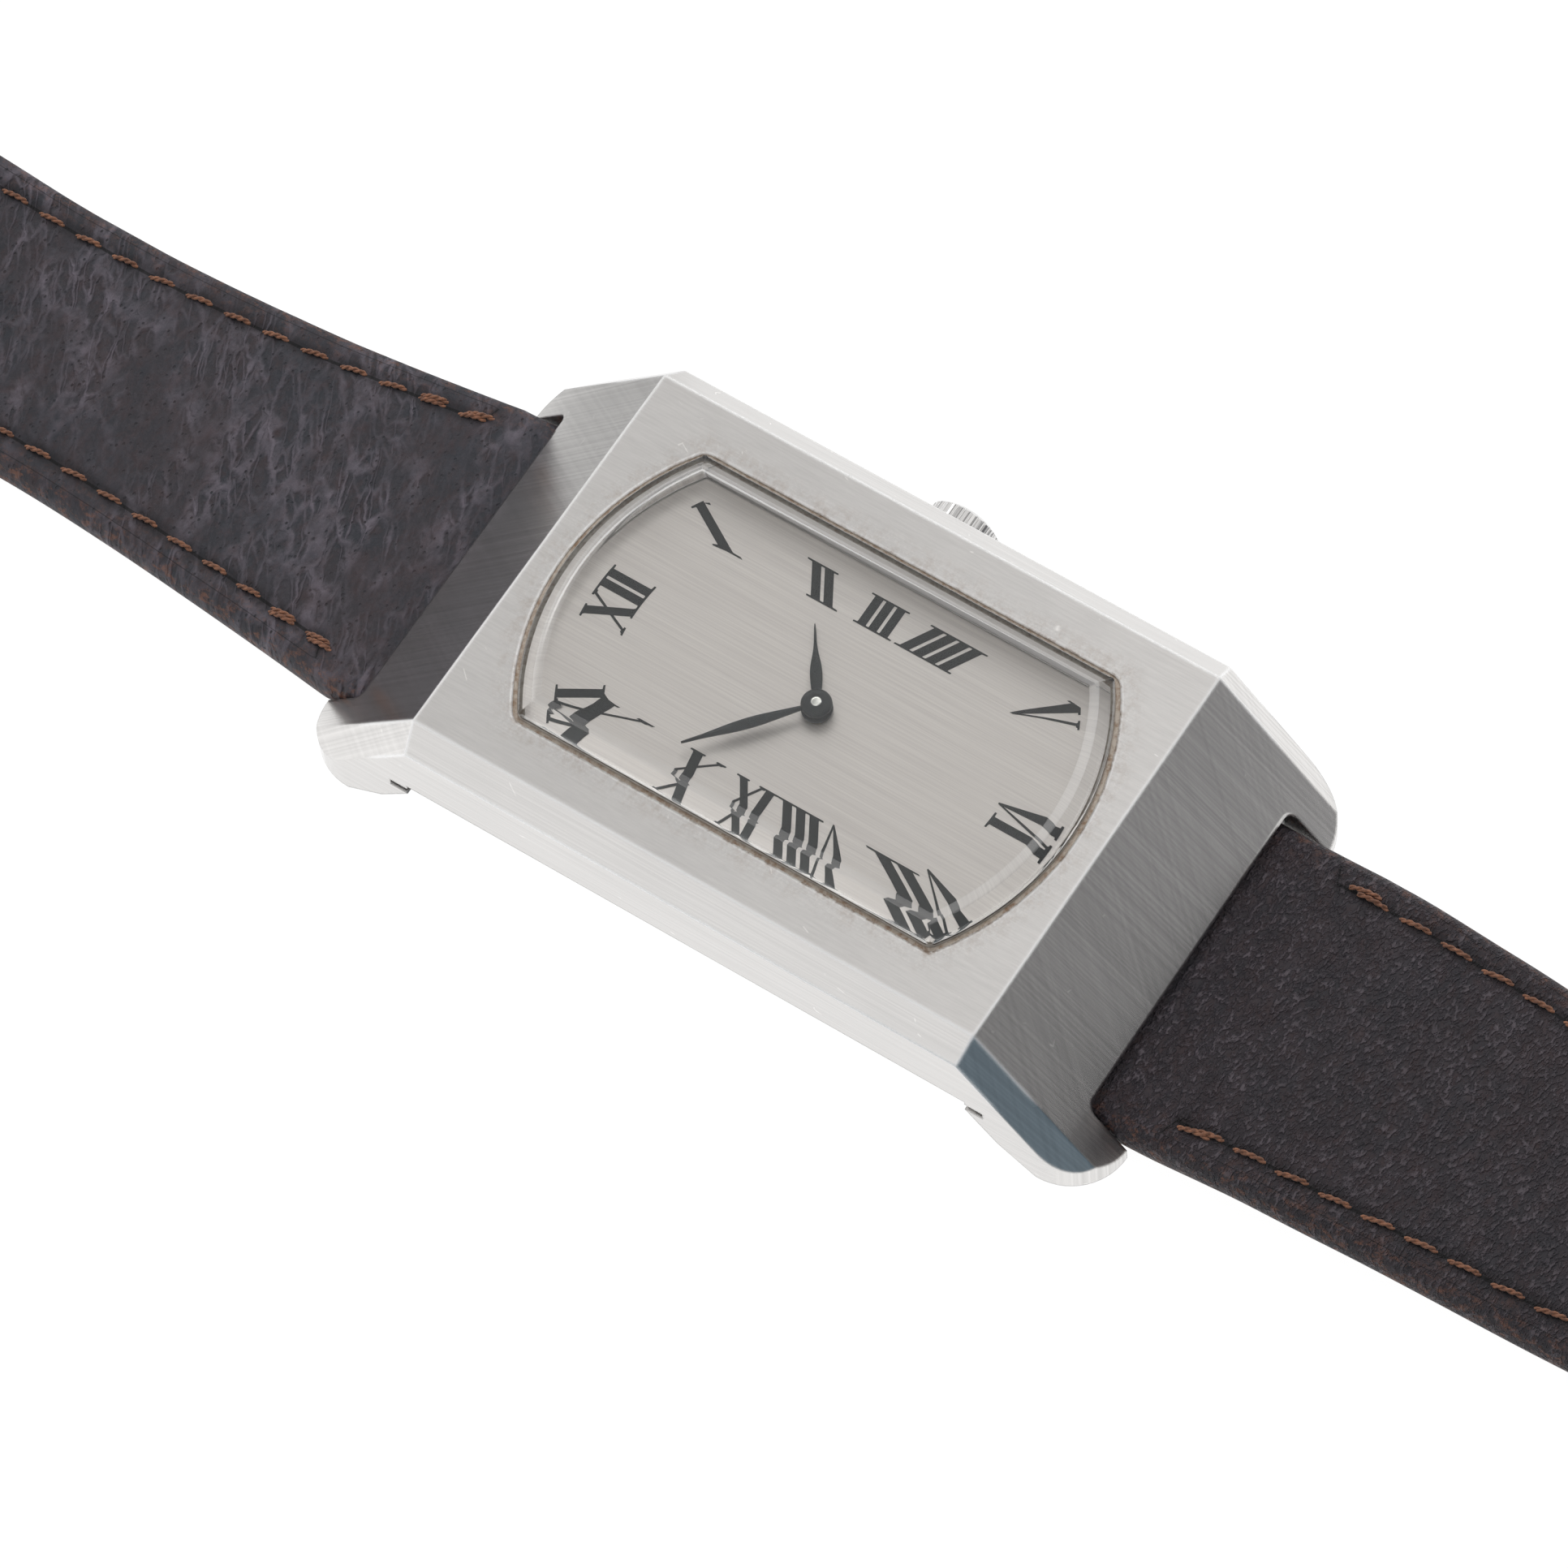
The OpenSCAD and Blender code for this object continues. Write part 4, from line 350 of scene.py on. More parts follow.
case_steel, shader, soft_edge = steel("case_ground_stainless_steel", CASE_TONE, 0.3, 0.24)
x, y, z = split(in_mm())
facing_x, facing_y, facing_z = split(wire("ShaderNodeTexCoord", output="Normal"))
on_slope = span(abs(facing_y), 0.25, 0.35)
on_top = span(facing_z, 0.97, 0.99)
on_chamfer = span(abs(facing_x), 0.5, 0.55) * span(abs(facing_y), 0.45, 0.5)
slope = grain((0.15, 90, 90), 1, 0.5, (0, 0, -6)) * 0.65 + grain((0.2, 60, 60), 1, 0.5, (0, 0, 38)) * 0.35
side = grain((0.12, 12, 0.12), 3, 0.6)
satin = grain((0.14, 2.2, 0.14), 4, 0.7)
lines = mix(on_top, mix(on_slope, side, slope), satin)
contrast = 0.05 + on_slope * 0.06
line_tone = 1 + span(lines, 0.34, 0.66, -1, 1) * contrast
scratches = span(cells(in_mm((2.6, 5, 2.6), (0, 0, 33)), "DISTANCE_TO_EDGE"), 0, 0.014, 1, 0)
scratches = scratches * span(grain(0.9, 1), 0.68, 0.72)
cloud = span(grain((5, 7, 5), 4, 0.6), 0.3, 0.7, 0.98, 1.02)
# Painted light: the top is painted lighter towards 6 o'clock and darker towards 12, as light falls off across it
painted_falloff = mix(on_top, 1.0, span(y, -18, 4, 1.07, 0.95))
tone = line_tone * cloud * painted_falloff * (1 + scratches * 0.35)
# Dirt gathers near the window's edge: its distance comes from the window's own plan
across, along = abs(x), abs(y)
radial = maths("SQRT", across ** 2 + along ** 2)
out_of_window = maths("MAXIMUM", across - WINDOW_HALF, radial - WINDOW_R)
near_window = smooth(out_of_window, 0.1, 1.7, 1, 0)
tone = tone * (1 + near_window * span(grain(0.16, 5, 0.8), 0.5, 0.62, -0.5, 1) * 0.07)
blotches = span(grain(0.7, 6, 0.75), 0.47, 0.7)
grime = near_window * blotches * span(z, 9.3, 9.6)
old_side = span(x + y, 4, -9, 0.3, 1)
groove = span(z, 11.16, 11.06) * span(out_of_window, 0.14, 0.04) * span(z, 9.3, 9.5)
groove = groove * (old_side * span(blotches, 0, 0.6, 0.35, 1))
stain = maths("MINIMUM", grime * 0.35 + groove * 0.6, 1)
# Rubbed edges get a painted highlight: a thin line of whiter, rougher steel, where a rounded normal parts from the
# flat one
rounded = wire("ShaderNodeBevel", {"Radius": 0.3 * MM}, samples=6)
parted = cosine(rounded, wire("ShaderNodeNewGeometry", output="True Normal"))
edge_wear_and_highlight = span(parted, 0.998, 0.985) * span(z, 5.5, 6.5)
# The painted edge highlight and the painted falloff go into the steel's colour here
tone_with_painted_light = blend(edge_wear_and_highlight * 0.95, scaled(colour(CASE_TONE)[:3], tone), "#FFFFFF")
rough = mix(edge_wear_and_highlight, mix(on_chamfer, mix(on_top, 0.24, 0.36), 0.13), 0.6) + stain * 0.3
relief = (lines - scratches * 0.4) * (1 - on_slope * 0.9)
feed(shader, {"Base Color": blend(stain, tone_with_painted_light, "#9A8470"), "Roughness": rough,
              "Normal": bump(relief, 0.002, 0.5, soft_edge)})
finish_node(case_steel, "case_middle")
print("case finish:", case_steel.name)

# %% [markdown]
# The crown and the buckle are polished steel: the same metal, a much finer surface. The case back
# was turned against a brush, so its lines are rings.

# %% Polished and circular-brushed steel
def worked_steel(name, base, roughness, edge_mm, draw, reach, relief=None):
    """Steel whose roughness follows the pattern that draw makes. relief is its depth and strength."""
    made, shader, soft_edge = steel(name, base, roughness, edge_mm)
    pattern = draw()
    feed(shader, {"Roughness": span(pattern, *reach)})
    if relief:
        feed(shader, {"Normal": bump(pattern, *relief, soft_edge)})
    return made


polished_steel = worked_steel("polished_stainless_steel", "#DEDDDC", 0.12, 0.05,
                              lambda: grain(1.5, 5, 0.6), (0.35, 0.7, 0.08, 0.22))
finish_node(polished_steel, "crown", "crown_tube", "buckle_frame", "buckle_tongue")
back_steel = worked_steel("circular_brushed_stainless_steel", "#D2D1CF", 0.3, 0.05,
                          lambda: rings(0.5, 3, 4), (0, 1, 0.24, 0.36), (0.004, 0.4))
finish_node(back_steel, "case_back")
print("steels:", polished_steel.name, back_steel.name)

# %% [markdown]
# The crystal is ground mineral glass with a bevelled edge. What is under the bevel shows twice, bent
# by the glass, as in the photograph: real refraction does that by itself. Light for the dial has to
# come through, and a path tracer can't find it through solid glass, so shadow rays pass freely.

# %% Crystal
UPPER_ROUND, LOWER_ROUND = 0.32, 0.16   # how far the ground edge is rounded on each side, in mm
glasses = []
# The second glass goes on the rounded rim: its strong coat is a painted highlight, more reflection than glass gives
for name, gloss in (("ground_mineral_glass", 0), ("glass_rim_painted_highlight", 1)):
    glasses.append(empty_material(name))
    clear = add("ShaderNodeBsdfPrincipled", {
        "Base Color": colour("#FDFFFE"), "Roughness": 0.0, "IOR": 1.52, "Transmission Weight": 1,
        "Coat Weight": gloss, "Coat IOR": 2.3, "Coat Roughness": 0.03})
    end_in_mix(ray("Shadow"), clear, add("ShaderNodeBsdfTransparent", {"Color": colour("#F4F6F6")}))
ground_wall = mottled("fine_ground_glass_wall", {"Roughness": 0.5, "IOR": 1.5}, (0.5, 4), 0.35, 0.65,
                      "#A09A93", "#BAB5AE")


def soften(shape, degrees):
    """Smooth shading, apart from edges that are sharper than the angle."""
    for face in shape.faces:
        face.smooth = True
    for edge in shape.edges:
        edge.smooth = edge.calc_face_angle(0) < math.radians(degrees)


def put(piece, material, body, slot, *replaced):
    """Finishes a piece: its material, the body it rides on and the nodes it stands for. slot is not used."""
    if material:
        piece.data.materials.clear()
        piece.data.materials.append(material)
    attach(piece, body)
    if replaced:
        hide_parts(*replaced)


# The CAD crystal is a heap of loose triangles: they are merged, and flat ones joined
shape = bmesh.new()
shape.from_mesh(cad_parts["crystal"].data)
bmesh.ops.remove_doubles(shape, verts=shape.verts, dist=0.0005 * MM)
shape.normal_update()
bmesh.ops.dissolve_limit(shape, angle_limit=math.radians(0.3), verts=shape.verts, edges=shape.edges)
for low_z, high_z, reach in ((0.99, 1.01, UPPER_ROUND), (0.8, 0.9, LOWER_ROUND)):
    rim = [edge for edge in shape.edges if len(edge.link_faces) == 2 and
           0.1 < edge.link_faces[0].normal.angle(edge.link_faces[1].normal) < 1.2 and
           abs(edge.verts[0].co.z - edge.verts[1].co.z) < 0.01 * MM and
           low_z < max(face.normal.z for face in edge.link_faces) < high_z]
    bmesh.ops.bevel(shape, geom=rim, offset=reach * MM, segments=7, profile=0.5, affect="EDGES")
    print("rim edges rounded:", len(rim))
soften(shape, 16)
crystal = mesh_object(shape, "crystal_glass")
put(crystal, glasses[0], "case", "crystal_glass", "crystal")
crystal.data.materials.append(ground_wall)
crystal.data.materials.append(glasses[1])
for polygon in crystal.data.polygons:
    up = polygon.normal.z
    polygon.material_index = 1 if abs(up) < 0.08 else 2 * int(0.08 < up < 0.82 or 0.86 < up < 0.998)
print("crystal faces:", len(crystal.data.polygons))

# %% [markdown]
# The gasket under the crystal's edge is nylon that has yellowed, with brown dust caught on it.

# %% Gaskets
nylon = mottled("yellowed_nylon_gasket", {"Roughness": 0.5, "IOR": 1.53}, (0.4, 6, 0.8), 0.42, 0.66,
                "#C2B8AC", "#86684E")
finish_node(nylon, "crystal_gasket")
black_rubber, shader = new_material("moulded_black_rubber", {"Base Color": colour("#1B1B1B"), "IOR": 1.52})
feed(shader, {"Roughness": span(grain(0.2, 3), 0.3, 0.7, 0.5, 0.7)})
finish_node(black_rubber, "case_back_gasket", "crown_gasket")
print("gaskets finished")

# %% [markdown]
# The dial is a silvered brass plate, brushed in one direction from 12 to 6 and lacquered. Its lines
# are long and very fine: one noise is 9 mm long and 0.09 mm across, the other 24 and 0.4 mm.

# %% Dial finish
silver, shader = new_material("silvered_brushed_dial", {
    "Metallic": 0.75, "Roughness": 0.42, "Coat Weight": 0.3, "Coat Roughness": 0.2})
lines = grain((0.09, 9, 1), 3, 0.6) * 0.82 + grain((0.4, 24, 1), 2, 0.5) * 0.18
feed(shader, {"Base Color": blend(span(lines, 0.3, 0.7), "#D8CFCC", "#ECE4E0"), "Normal": bump(lines, 0.002, 0.3)})
finish_node(silver, "dial")
print("dial finish:", silver.name)

# %% [markdown]
# The hour numerals are Roman, printed with black ink. One rule draws all twelve: each stroke is a
# straight band along the numeral's own direction from the centre, cut off by two barrel-shaped lines
# that echo the window. So the side numerals slant, and the serifs lie along the barrel lines.

# %% Numerals
INNER_LINE = (5.3, 11.15)   # half width and end radius of the line round the numerals' feet, in mm
OUTER_LINE = (7.24, 13.75)  # the same for their tops
INK_UP = 0.03               # the ink film stands this far above the dial, in mm
INK_LOW = 0.002             # and it starts this far above, so that the two never share a face
PRINT_SHIFT = 0.12          # the print sits a hair off the case's centre, both ways
STEM, HAIR = 0.49, 0.155
DIAL_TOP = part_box("dial")[1].z / MM


def on_line(line, side, direction, offset):
    """Distance along direction, at a sideways offset, to a barrel-shaped line."""
    half_width, end_radius = line
    to_end = math.sqrt(end_radius ** 2 - offset ** 2)
    if abs(direction.x) < 0.05:
        return to_end
    to_side = (math.copysign(half_width, direction.x) - offset * side.x) / direction.x
    return min(to_end, to_side)


def dial_point(direction, offset, part):
    """A point of a numeral: sideways offset in mm, and part from 0 at its feet to 1 at its top."""
    side = Vector((direction.y, -direction.x))
    low, high = (on_line(line, side, direction, offset) for line in (INNER_LINE, OUTER_LINE))
    return side * offset + direction * (low + (high - low) * part)


def band(bottom, top, wide_bottom, wide_top=None, start=0.0):
    """A stroke from an offset at the feet to an offset at the top, as a closed outline."""
    wide_top = wide_bottom if wide_top is None else wide_top
    steps = 6
    left, right = ([(bottom + way * wide_bottom / 2 + (top - bottom + way * (wide_top - wide_bottom) / 2) * i / steps,
                     start + (1 - start) * i / steps) for i in range(steps + 1)] for way in (-1, 1))
    return left + right[::-1]


def foot(offset, reach, part):
    """A serif at the feet (part 0) or the top (part 1), with a small bracket into the stroke."""
    inward = 1 if part == 0 else -1
    inner = reach * 0.55
    half = [(reach, 0), (reach, 0.04), (inner, 0.048), (inner * 0.8, 0.075)]
    outline = [(offset, part)] + [(offset + way * across, part + inward * rise)
                                  for way in (1, -1) for across, rise in half[::way]]
    return outline[::inward]


def stem(offset):
    return [band(offset, offset, STEM), foot(offset, STEM / 2 + 0.24, 0), foot(offset, STEM / 2 + 0.24, 1)]


def vee(vertex, start=-0.05):
    left, right_top = vertex - 0.36, vertex + 0.66
    return [band(vertex, left, 0.08, STEM * 1.15, start), band(vertex, right_top, 0.08, HAIR, start),
            foot(left, STEM / 2 + 0.16, 1), foot(right_top, 0.26, 1)]


def cross(middle):
    left, right = middle - 0.62, middle + 0.62
    return [band(right, left, STEM), band(left, right, HAIR),
            foot(left, STEM / 2 + 0.14, 1), foot(right, STEM / 2 + 0.14, 0), foot(right, 0.24, 1), foot(left, 0.24, 0)]


NUMERALS = {  # hour: the place of its middle in mm, and its letters from left to right
    1: ((6.1, 10.4), [(stem, 0)]),
    2: ((6.3, 3.7), [(stem, -0.34), (stem, 0.34)]),
    3: ((6.2, 0), [(stem, -0.68), (stem, 0), (stem, 0.68)]),
    4: ((6.3, -3.7), [(stem, -1.02), (stem, -0.34), (stem, 0.34), (stem, 1.02)]),
    5: ((6.1, -10.4), [(vee, 0.1, -0.16)]),   # it has room, so its point reaches further in
    6: ((0, -12.7), [(vee, -0.3), (stem, 0.72)]),
    7: ((-6.1, -10.2), [(vee, -0.96), (stem, 0.06), (stem, 0.76)]),
    8: ((-6.3, -3.7), [(vee, -1.17), (stem, -0.14), (stem, 0.57), (stem, 1.28)]),
    9: ((-6.2, 0), [(stem, -0.6), (cross, 0.46)]),
    10: ((-6.3, 3.7), [(cross, 0.03)]),
    11: ((-6.1, 10.4), [(cross, -0.36), (stem, 0.68)]),
    12: ((0, 12.7), [(cross, -0.88), (stem, 0.42), (stem, 1.1)])}
shape = bmesh.new()
for middle, letters in NUMERALS.values():
    direction = Vector(middle).normalized()
    outlines = [outline for letter, *where in letters for outline in letter(*where)]
    for layer, outline in enumerate(outlines):
        up = INK_UP - 0.0004 * layer   # strokes that cross don't share a plane
        points = [dial_point(direction, offset, part) for offset, part in outline]
        if sum(p.x * q.y - q.x * p.y for p, q in zip(points, points[1:] + points[:1])) < 0:
            points.reverse()
        tops, feet = ([shape.verts.new(((p.x + PRINT_SHIFT) * MM, (p.y + PRINT_SHIFT) * MM, z * MM))
                       for p in points] for z in (DIAL_TOP + up, DIAL_TOP + INK_LOW))
        shape.faces.new(tops)
        shape.faces.new(feet[::-1])
        for i, top in enumerate(tops):
            shape.faces.new((feet[i - 1], feet[i], top, tops[i - 1]))
numerals = mesh_object(shape, "numerals")
ink = mottled("black_printing_ink", {"Roughness": 0.5, "IOR": 1.3}, ((0.25, 0.25, 1), 4), 0.35, 0.7,
              "#0E1114", "#1A1E22")
put(numerals, ink, "case", "hand_black")
print("numerals:", len(NUMERALS), "faces:", len(numerals.data.polygons))

# %% [markdown]
# The hands are leaf shaped: a thin neck, a belly and a needle tip. They are stamped with a slight
# roof, so that each half takes the light differently, and lacquered blue-black. A roof is easily
# made as rows of five points across the hand, whose width follows one curve along it.

# %% Hands
def ease(value, low, high):
    part = min(1, max(0, (value - low) / (high - low)))
    return part * part * (3 - 2 * part)


def ramp(value, points):
    """Straight lines through (place, value) points."""
    if value <= points[0][0]:
        return points[0][1]
    for (a, p), (b, q) in zip(points, points[1:]):
        if value <= b:
            return p + (q - p) * (value - a) / (b - a)
    return points[-1][1]


def join_rings(shape, loops, closed=False):
    """Joins loops of points with faces. The last meets the first, or both ends get a cap."""
    for a, b in zip(loops, loops[1:] + loops[:1] if closed else loops[1:]):
        for i in range(len(a)):
            j = (i + 1) % len(a)
            shape.faces.new((a[i], a[j], b[j], b[i]))
    if not closed:
        shape.faces.new(loops[0][::-1])
        shape.faces.new(loops[-1])


# Half width along each hand, both as shares of the greatest
MINUTE_OUTLINE = [(0, 0.3), (0.1, 0.38), (0.28, 0.72), (0.42, 0.97), (0.5, 1), (0.57, 0.95), (0.65, 0.82),
                  (0.745, 0.59), (0.83, 0.39), (0.91, 0.28), (0.985, 0.24), (1, 0.1)]
HOUR_OUTLINE = [(0, 0.4), (0.16, 0.68), (0.226, 0.84), (0.34, 0.97), (0.42, 1), (0.49, 0.92), (0.55, 0.79),
                (0.63, 0.53), (0.71, 0.34), (0.79, 0.23), (0.98, 0.16), (1, 0.07)]
HAND_THICK = 0.17
PAST_ONE = 51.8   # minutes past one o'clock


def roofed_hand(shape, outline, length, width, low, angle):
    steps = 60
    turn = Matrix.Rotation(math.radians(angle), 3, "Z")
    ridge, shoulder = low + HAND_THICK, low + HAND_THICK * 0.5
    rows = []
    for i in range(steps + 1):
        u = i / steps
        half = width / 8 * (ramp(u - 0.03, outline) + 2 * ramp(u, outline) + ramp(u + 0.03, outline))
        row = [(-half, low), (-half, shoulder), (0, ridge), (half, shoulder), (half, low)]
        rows.append([shape.verts.new(turn @ Vector((length * u, y, z)) * MM) for y, z in row])
    join_rings(shape, rows)


def turned_part(shape, low, outline, steps=48):
    """A ring turned about Z from a closed outline of (radius, height above low) points in mm."""
    angles = [2 * math.pi * k / steps for k in range(steps)]
    join_rings(shape, [[shape.verts.new((r * math.cos(a) * MM, r * math.sin(a) * MM, (low + z) * MM))
                        for r, z in outline] for a in angles], closed=True)


def finish_mesh(shape, name, smooth_angle=35):
    """Closes a bmesh into an object at the origin, with faces outwards."""
    bmesh.ops.recalc_face_normals(shape, faces=shape.faces)
    soften(shape, smooth_angle)
    return mesh_object(shape, name)


minute_low, hour_low = (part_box(n)[0].z / MM for n in ("minute_hand", "hour_hand"))
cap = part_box("minute_hand")[1].z / MM - minute_low   # the hub's top above the hand's underside
shape = bmesh.new()
roofed_hand(shape, HOUR_OUTLINE, 4.95, 0.66, hour_low, 90 - 30 * (1 + PAST_ONE / 60))
turned_part(shape, hour_low, [(0.6, 0), (0.6, 0.22), (0.8, 0.22), (0.85, 0.16), (0.85, 0)])
hour_leaf = finish_mesh(shape, "hour_leaf")
shape = bmesh.new()
roofed_hand(shape, MINUTE_OUTLINE, 7.35, 0.62, minute_low, 90 - 6 * PAST_ONE)
turned_part(shape, minute_low, [(0.3, 0), (0.3, 0.32), (0.4, 0.34), (0.62, 0.29), (0.76, 0.22), (0.83, 0.12),
                                (0.84, 0)])
minute_leaf = finish_mesh(shape, "minute_leaf")
shape = bmesh.new()
turned_part(shape, minute_low, [(0.005, 0.2), (0.29, 0.2), (0.29, cap - 0.07), (0.26, cap - 0.04),
                                (0.18, cap - 0.01), (0.005, cap)], 32)
hub_cap = finish_mesh(shape, "hub_cap", 60)
lacquer = mottled("blue_black_hand_lacquer", {
    "Roughness": 0.36, "IOR": 1.35, "Coat Weight": 0.12, "Coat Roughness": 0.08}, (0.3, 3), 0.35, 0.65,
    "#0B1014", "#141B21")
bright_steel = worked_steel("polished_hub_steel", "#F2F0EC", 0.1, 0.02, lambda: grain(0.3, 3), (0.3, 0.7, 0.08, 0.16))
put(hour_leaf, lacquer, "hour_pipe", "hand_black", "hour_hand")
put(minute_leaf, lacquer, "minute_arbor", "hand_black", "minute_hand")
put(hub_cap, bright_steel, "minute_arbor", "hard_steel")
print("hands:", len(hour_leaf.data.polygons), len(minute_leaf.data.polygons))

# %% [markdown]
# Inside, a good automatic movement is finished piece by piece. The bridges are rhodium-plated brass
# with straight stripes from a grinding disc, the main plate has overlapping polished spots, the
# wheels are gilt with circular lines, and the steel is grained and has blued screws.

# %% Movement finishes
def stripes():
    return wire("ShaderNodeTexWave", {"Vector": in_mm(4, (0, 0, 20)), "Scale": 1, "Distortion": 0},
                wave_type="BANDS", bands_direction="X", wave_profile="SAW")


for *finish, names in (
        ("rhodium_plated_striped_bridges", "#CFCBC2", 0.25, 0.03, stripes, (0, 1, 0.18, 0.38), (0.01, 0.3),
         "barrel_bridge train_bridge pallet_bridge balance_cock automatic_bridge"),
        ("rhodium_plated_spotted_main_plate", "#C6C1B6", 0.3, 0.03,
         lambda: cells(in_mm((0.9, 0.9, 40)), "F1", 0.15), (0, 0.6, 0.18, 0.4), (0.01, 0.3), "mainplate"),
        ("gilt_brass_wheels", "#D8B46A", 0.25, 0.02,
         lambda: grain((0.05, 0.05, 0.6), 3), (0.3, 0.7, 0.18, 0.35),
         "setting_wheel minute_wheel hour_wheel mainspring_barrel centre_wheel third_wheel fourth_wheel "
         "balance_wheel rotor_gear reverser_wheel_a reverser_wheel_b driving_wheel"),
        ("brushed_gilt_rotor", "#D2B073", 0.3, 0.04,
         lambda: rings(0.4, 2, 5), (0, 1, 0.2, 0.36), (0.004, 0.4), "rotor"),
        ("hardened_grained_steel", "#C4C6CA", 0.2, 0.02,
         lambda: grain((0.05, 0.5, 0.05), 3), (0.3, 0.7, 0.14, 0.3),
         "holding_clamps rotor_bearing winding_stem winding_pinion sliding_pinion setting_lever yoke "
         "cannon_pinion barrel_arbor mainspring escape_wheel pallet_fork balance_staff ratchet_wheel "
         "crown_wheel click spring_bars buckle_bar")):
    finish_node(worked_steel(*finish), *names.split())
blued, shader, _ = steel("blued_steel_screws_and_hairspring", "#3A4E86", 0.22, 0.02)
feed(shader, {"Base Color": blend(span(grain(0.5, 2), 0.4, 0.6), "#2F4480", "#4A5C8E")})
finish_node(blued, "bridge_screws", "clamp_screws", "hairspring")
ruby = mottled("polished_synthetic_ruby", {"Roughness": 0.06, "IOR": 1.76, "Transmission Weight": 0.4},
               (0.3, 2), 0.4, 0.6, "#B0123C", "#D0184A")
finish_node(ruby, "plate_jewels", "bridge_jewels")
ivory = mottled("moulded_ivory_acetal", {"IOR": 1.48, "Roughness": 0.45}, (1, 3), 0.4, 0.6, "#D8D0BA", "#E2DBC8")
finish_node(ivory, "movement_holder")
print("materials so far:", len(bpy.data.materials))

# %% [markdown]
# The strap is calf leather, dyed nearly black, waxed and worn. Three things give it away: the dye
# has a cool sheen, brown shows through in clouds and on rubbed edges, and the surface is covered in
# fine creases with pores between them. The 12 o'clock half has bent more, so its creases are long
# and run aslant across it; the 6 o'clock half keeps a tight, pebbled grain of 0.2 to 0.4 mm.

# %% Leather
def stored(name):
    """A value that is stored on the mesh's points."""
    return wire("ShaderNodeAttribute", output="Fac", attribute_name=name)


def leather(name, crease_size, crease_turn, crease_share, speck_share, tones):
    """Waxed calf leather. Values stored on the mesh say where it is rubbed, sewn or lining."""
    made, shader = new_material(name, {
        "IOR": 1.42, "Sheen Weight": 0.06, "Sheen Roughness": 0.4, "Sheen Tint": colour("#8FA0B4")})
    clouds = span(grain((5, 4, 5), 5, 0.65), 0.42, 0.66)
    fine_clouds = span(grain((1.1, 0.8, 1.1), 6, 0.75), 0.46, 0.68)
    base = blend(fine_clouds * 0.5, blend(clouds, tones[0], tones[1]), "#3C2A2A")
    warp = grain((1.6, 1.1, 1.6), 3, output="Color")
    where = span(grain((6, 3, 6), 3, 0.6), 0.4, 0.62)
    ridges = 0.0
    for share, line in ((1.0, 0.15), (0.5, 0.17)):
        fine_mm = in_mm([size * share for size in crease_size], crease_turn)
        route = wire("ShaderNodeVectorMath", {0: warp, 1: (0.7, 0.7, 0.7), 2: fine_mm}, operation="MULTIPLY_ADD")
        drawn = smooth(cells(route, "DISTANCE_TO_EDGE"), 0.01, line, 1, 0)
        ridges = maths("MAXIMUM", ridges, drawn * (0.3 + 0.7 * share))
    ridges = ridges * (where * 0.85 + 0.15)
    soft = span(grain((2.4, 0.8, 2.4), 4, 0.6, crease_turn), 0.48, 0.68) * where
    specks = smooth(grain((0.4, 0.22, 0.4), 2, 0.6, crease_turn), 0.4, 0.66) * speck_share
    pits = span(cells(in_mm((0.6, 0.42, 0.6)), "F1"), 0.2, 0.1)
    height = specks + ridges * crease_share - pits * 0.3
    uneven = span(grain((1.5, 1.2, 1.5), 4, 0.6), 0.35, 0.65, 0.3, 1)
    # Ridges and specks are glossier, and the third tone paints them lighter: a painted highlight
    polish_and_highlight = maths("MAXIMUM", specks, (ridges + soft * 0.2) * crease_share) * uneven * (1 - pits)
    patches = span(grain((0.5, 0.8, 0.5), 6, 0.8), 0.51, 0.62)
    shade = blend(stored("edge_wear_and_highlight") * patches * 0.7, blend(polish_and_highlight, base, tones[2]), "#7C5340")
    from_seam = abs(stored("seam"))
    # Painted shade along the seam: near black along the line of holes, fainter across the groove round it
    sewn = maths("MAXIMUM", span(from_seam, 0.16, 0.07, 0, 0.9), smooth(from_seam, 0.75, 0.15, 0, 0.45))
    shade = blend(sewn, shade, "#09090A")
    lining = blend(fine_clouds, "#6E5038", "#7C5C42")
    feed(shader, {"Base Color": blend(stored("lining"), shade, lining),
                  "Roughness": 0.64 - polish_and_highlight * 0.26 + sewn * 0.2, "Normal": bump(height, 0.16)})
    return made


# The third tone of each leather is a painted highlight on its ridges and specks
creased_leather = leather("waxed_creased_calf_leather", (5.0, 1.2, 5.0), (0, 0, -26), 0.75, 0.12,
                          ("#292B31", "#322D31", "#67606A"))
pebbled_leather = leather("waxed_pebbled_calf_leather", (4.5, 1.4, 4.5), (0, 0, 8), 0.3, 0.9,
                          ("#252328", "#2B2428", "#4F484E"))
print("leathers:", creased_leather.name, pebbled_leather.name)

# %% [markdown]
# Each strap half is one long skin over a filling. Its outline, thickness and route come from the
# same numbers as the solid: round the spring bar, thinning to the table, then up to the buckle. It
# is built as rings of points, one every third of a millimetre, so that creases can be real relief.
# Its edges are turned down and rounded, and the skin dips along the line of stitches.

# %% Shape of the strap
BAR_Y, BAR_Z = 21.6, 1.7   # distance from the centre and height of the spring bars, in mm
HALF_AT_CASE, HALF_AT_END = 9.85, 8.0
CASE_THICK, THICK = 3.0, 2.2
THIN_AT = 36               # from here on it has its lesser thickness
SEAM_INSET = 1.9
STITCH_PITCH = 2.5


def half_circle(radius, offset):
    """Half height of a round end at an offset from its middle, never quite 0."""
    return math.sqrt(max(0.0009, radius ** 2 - offset ** 2))


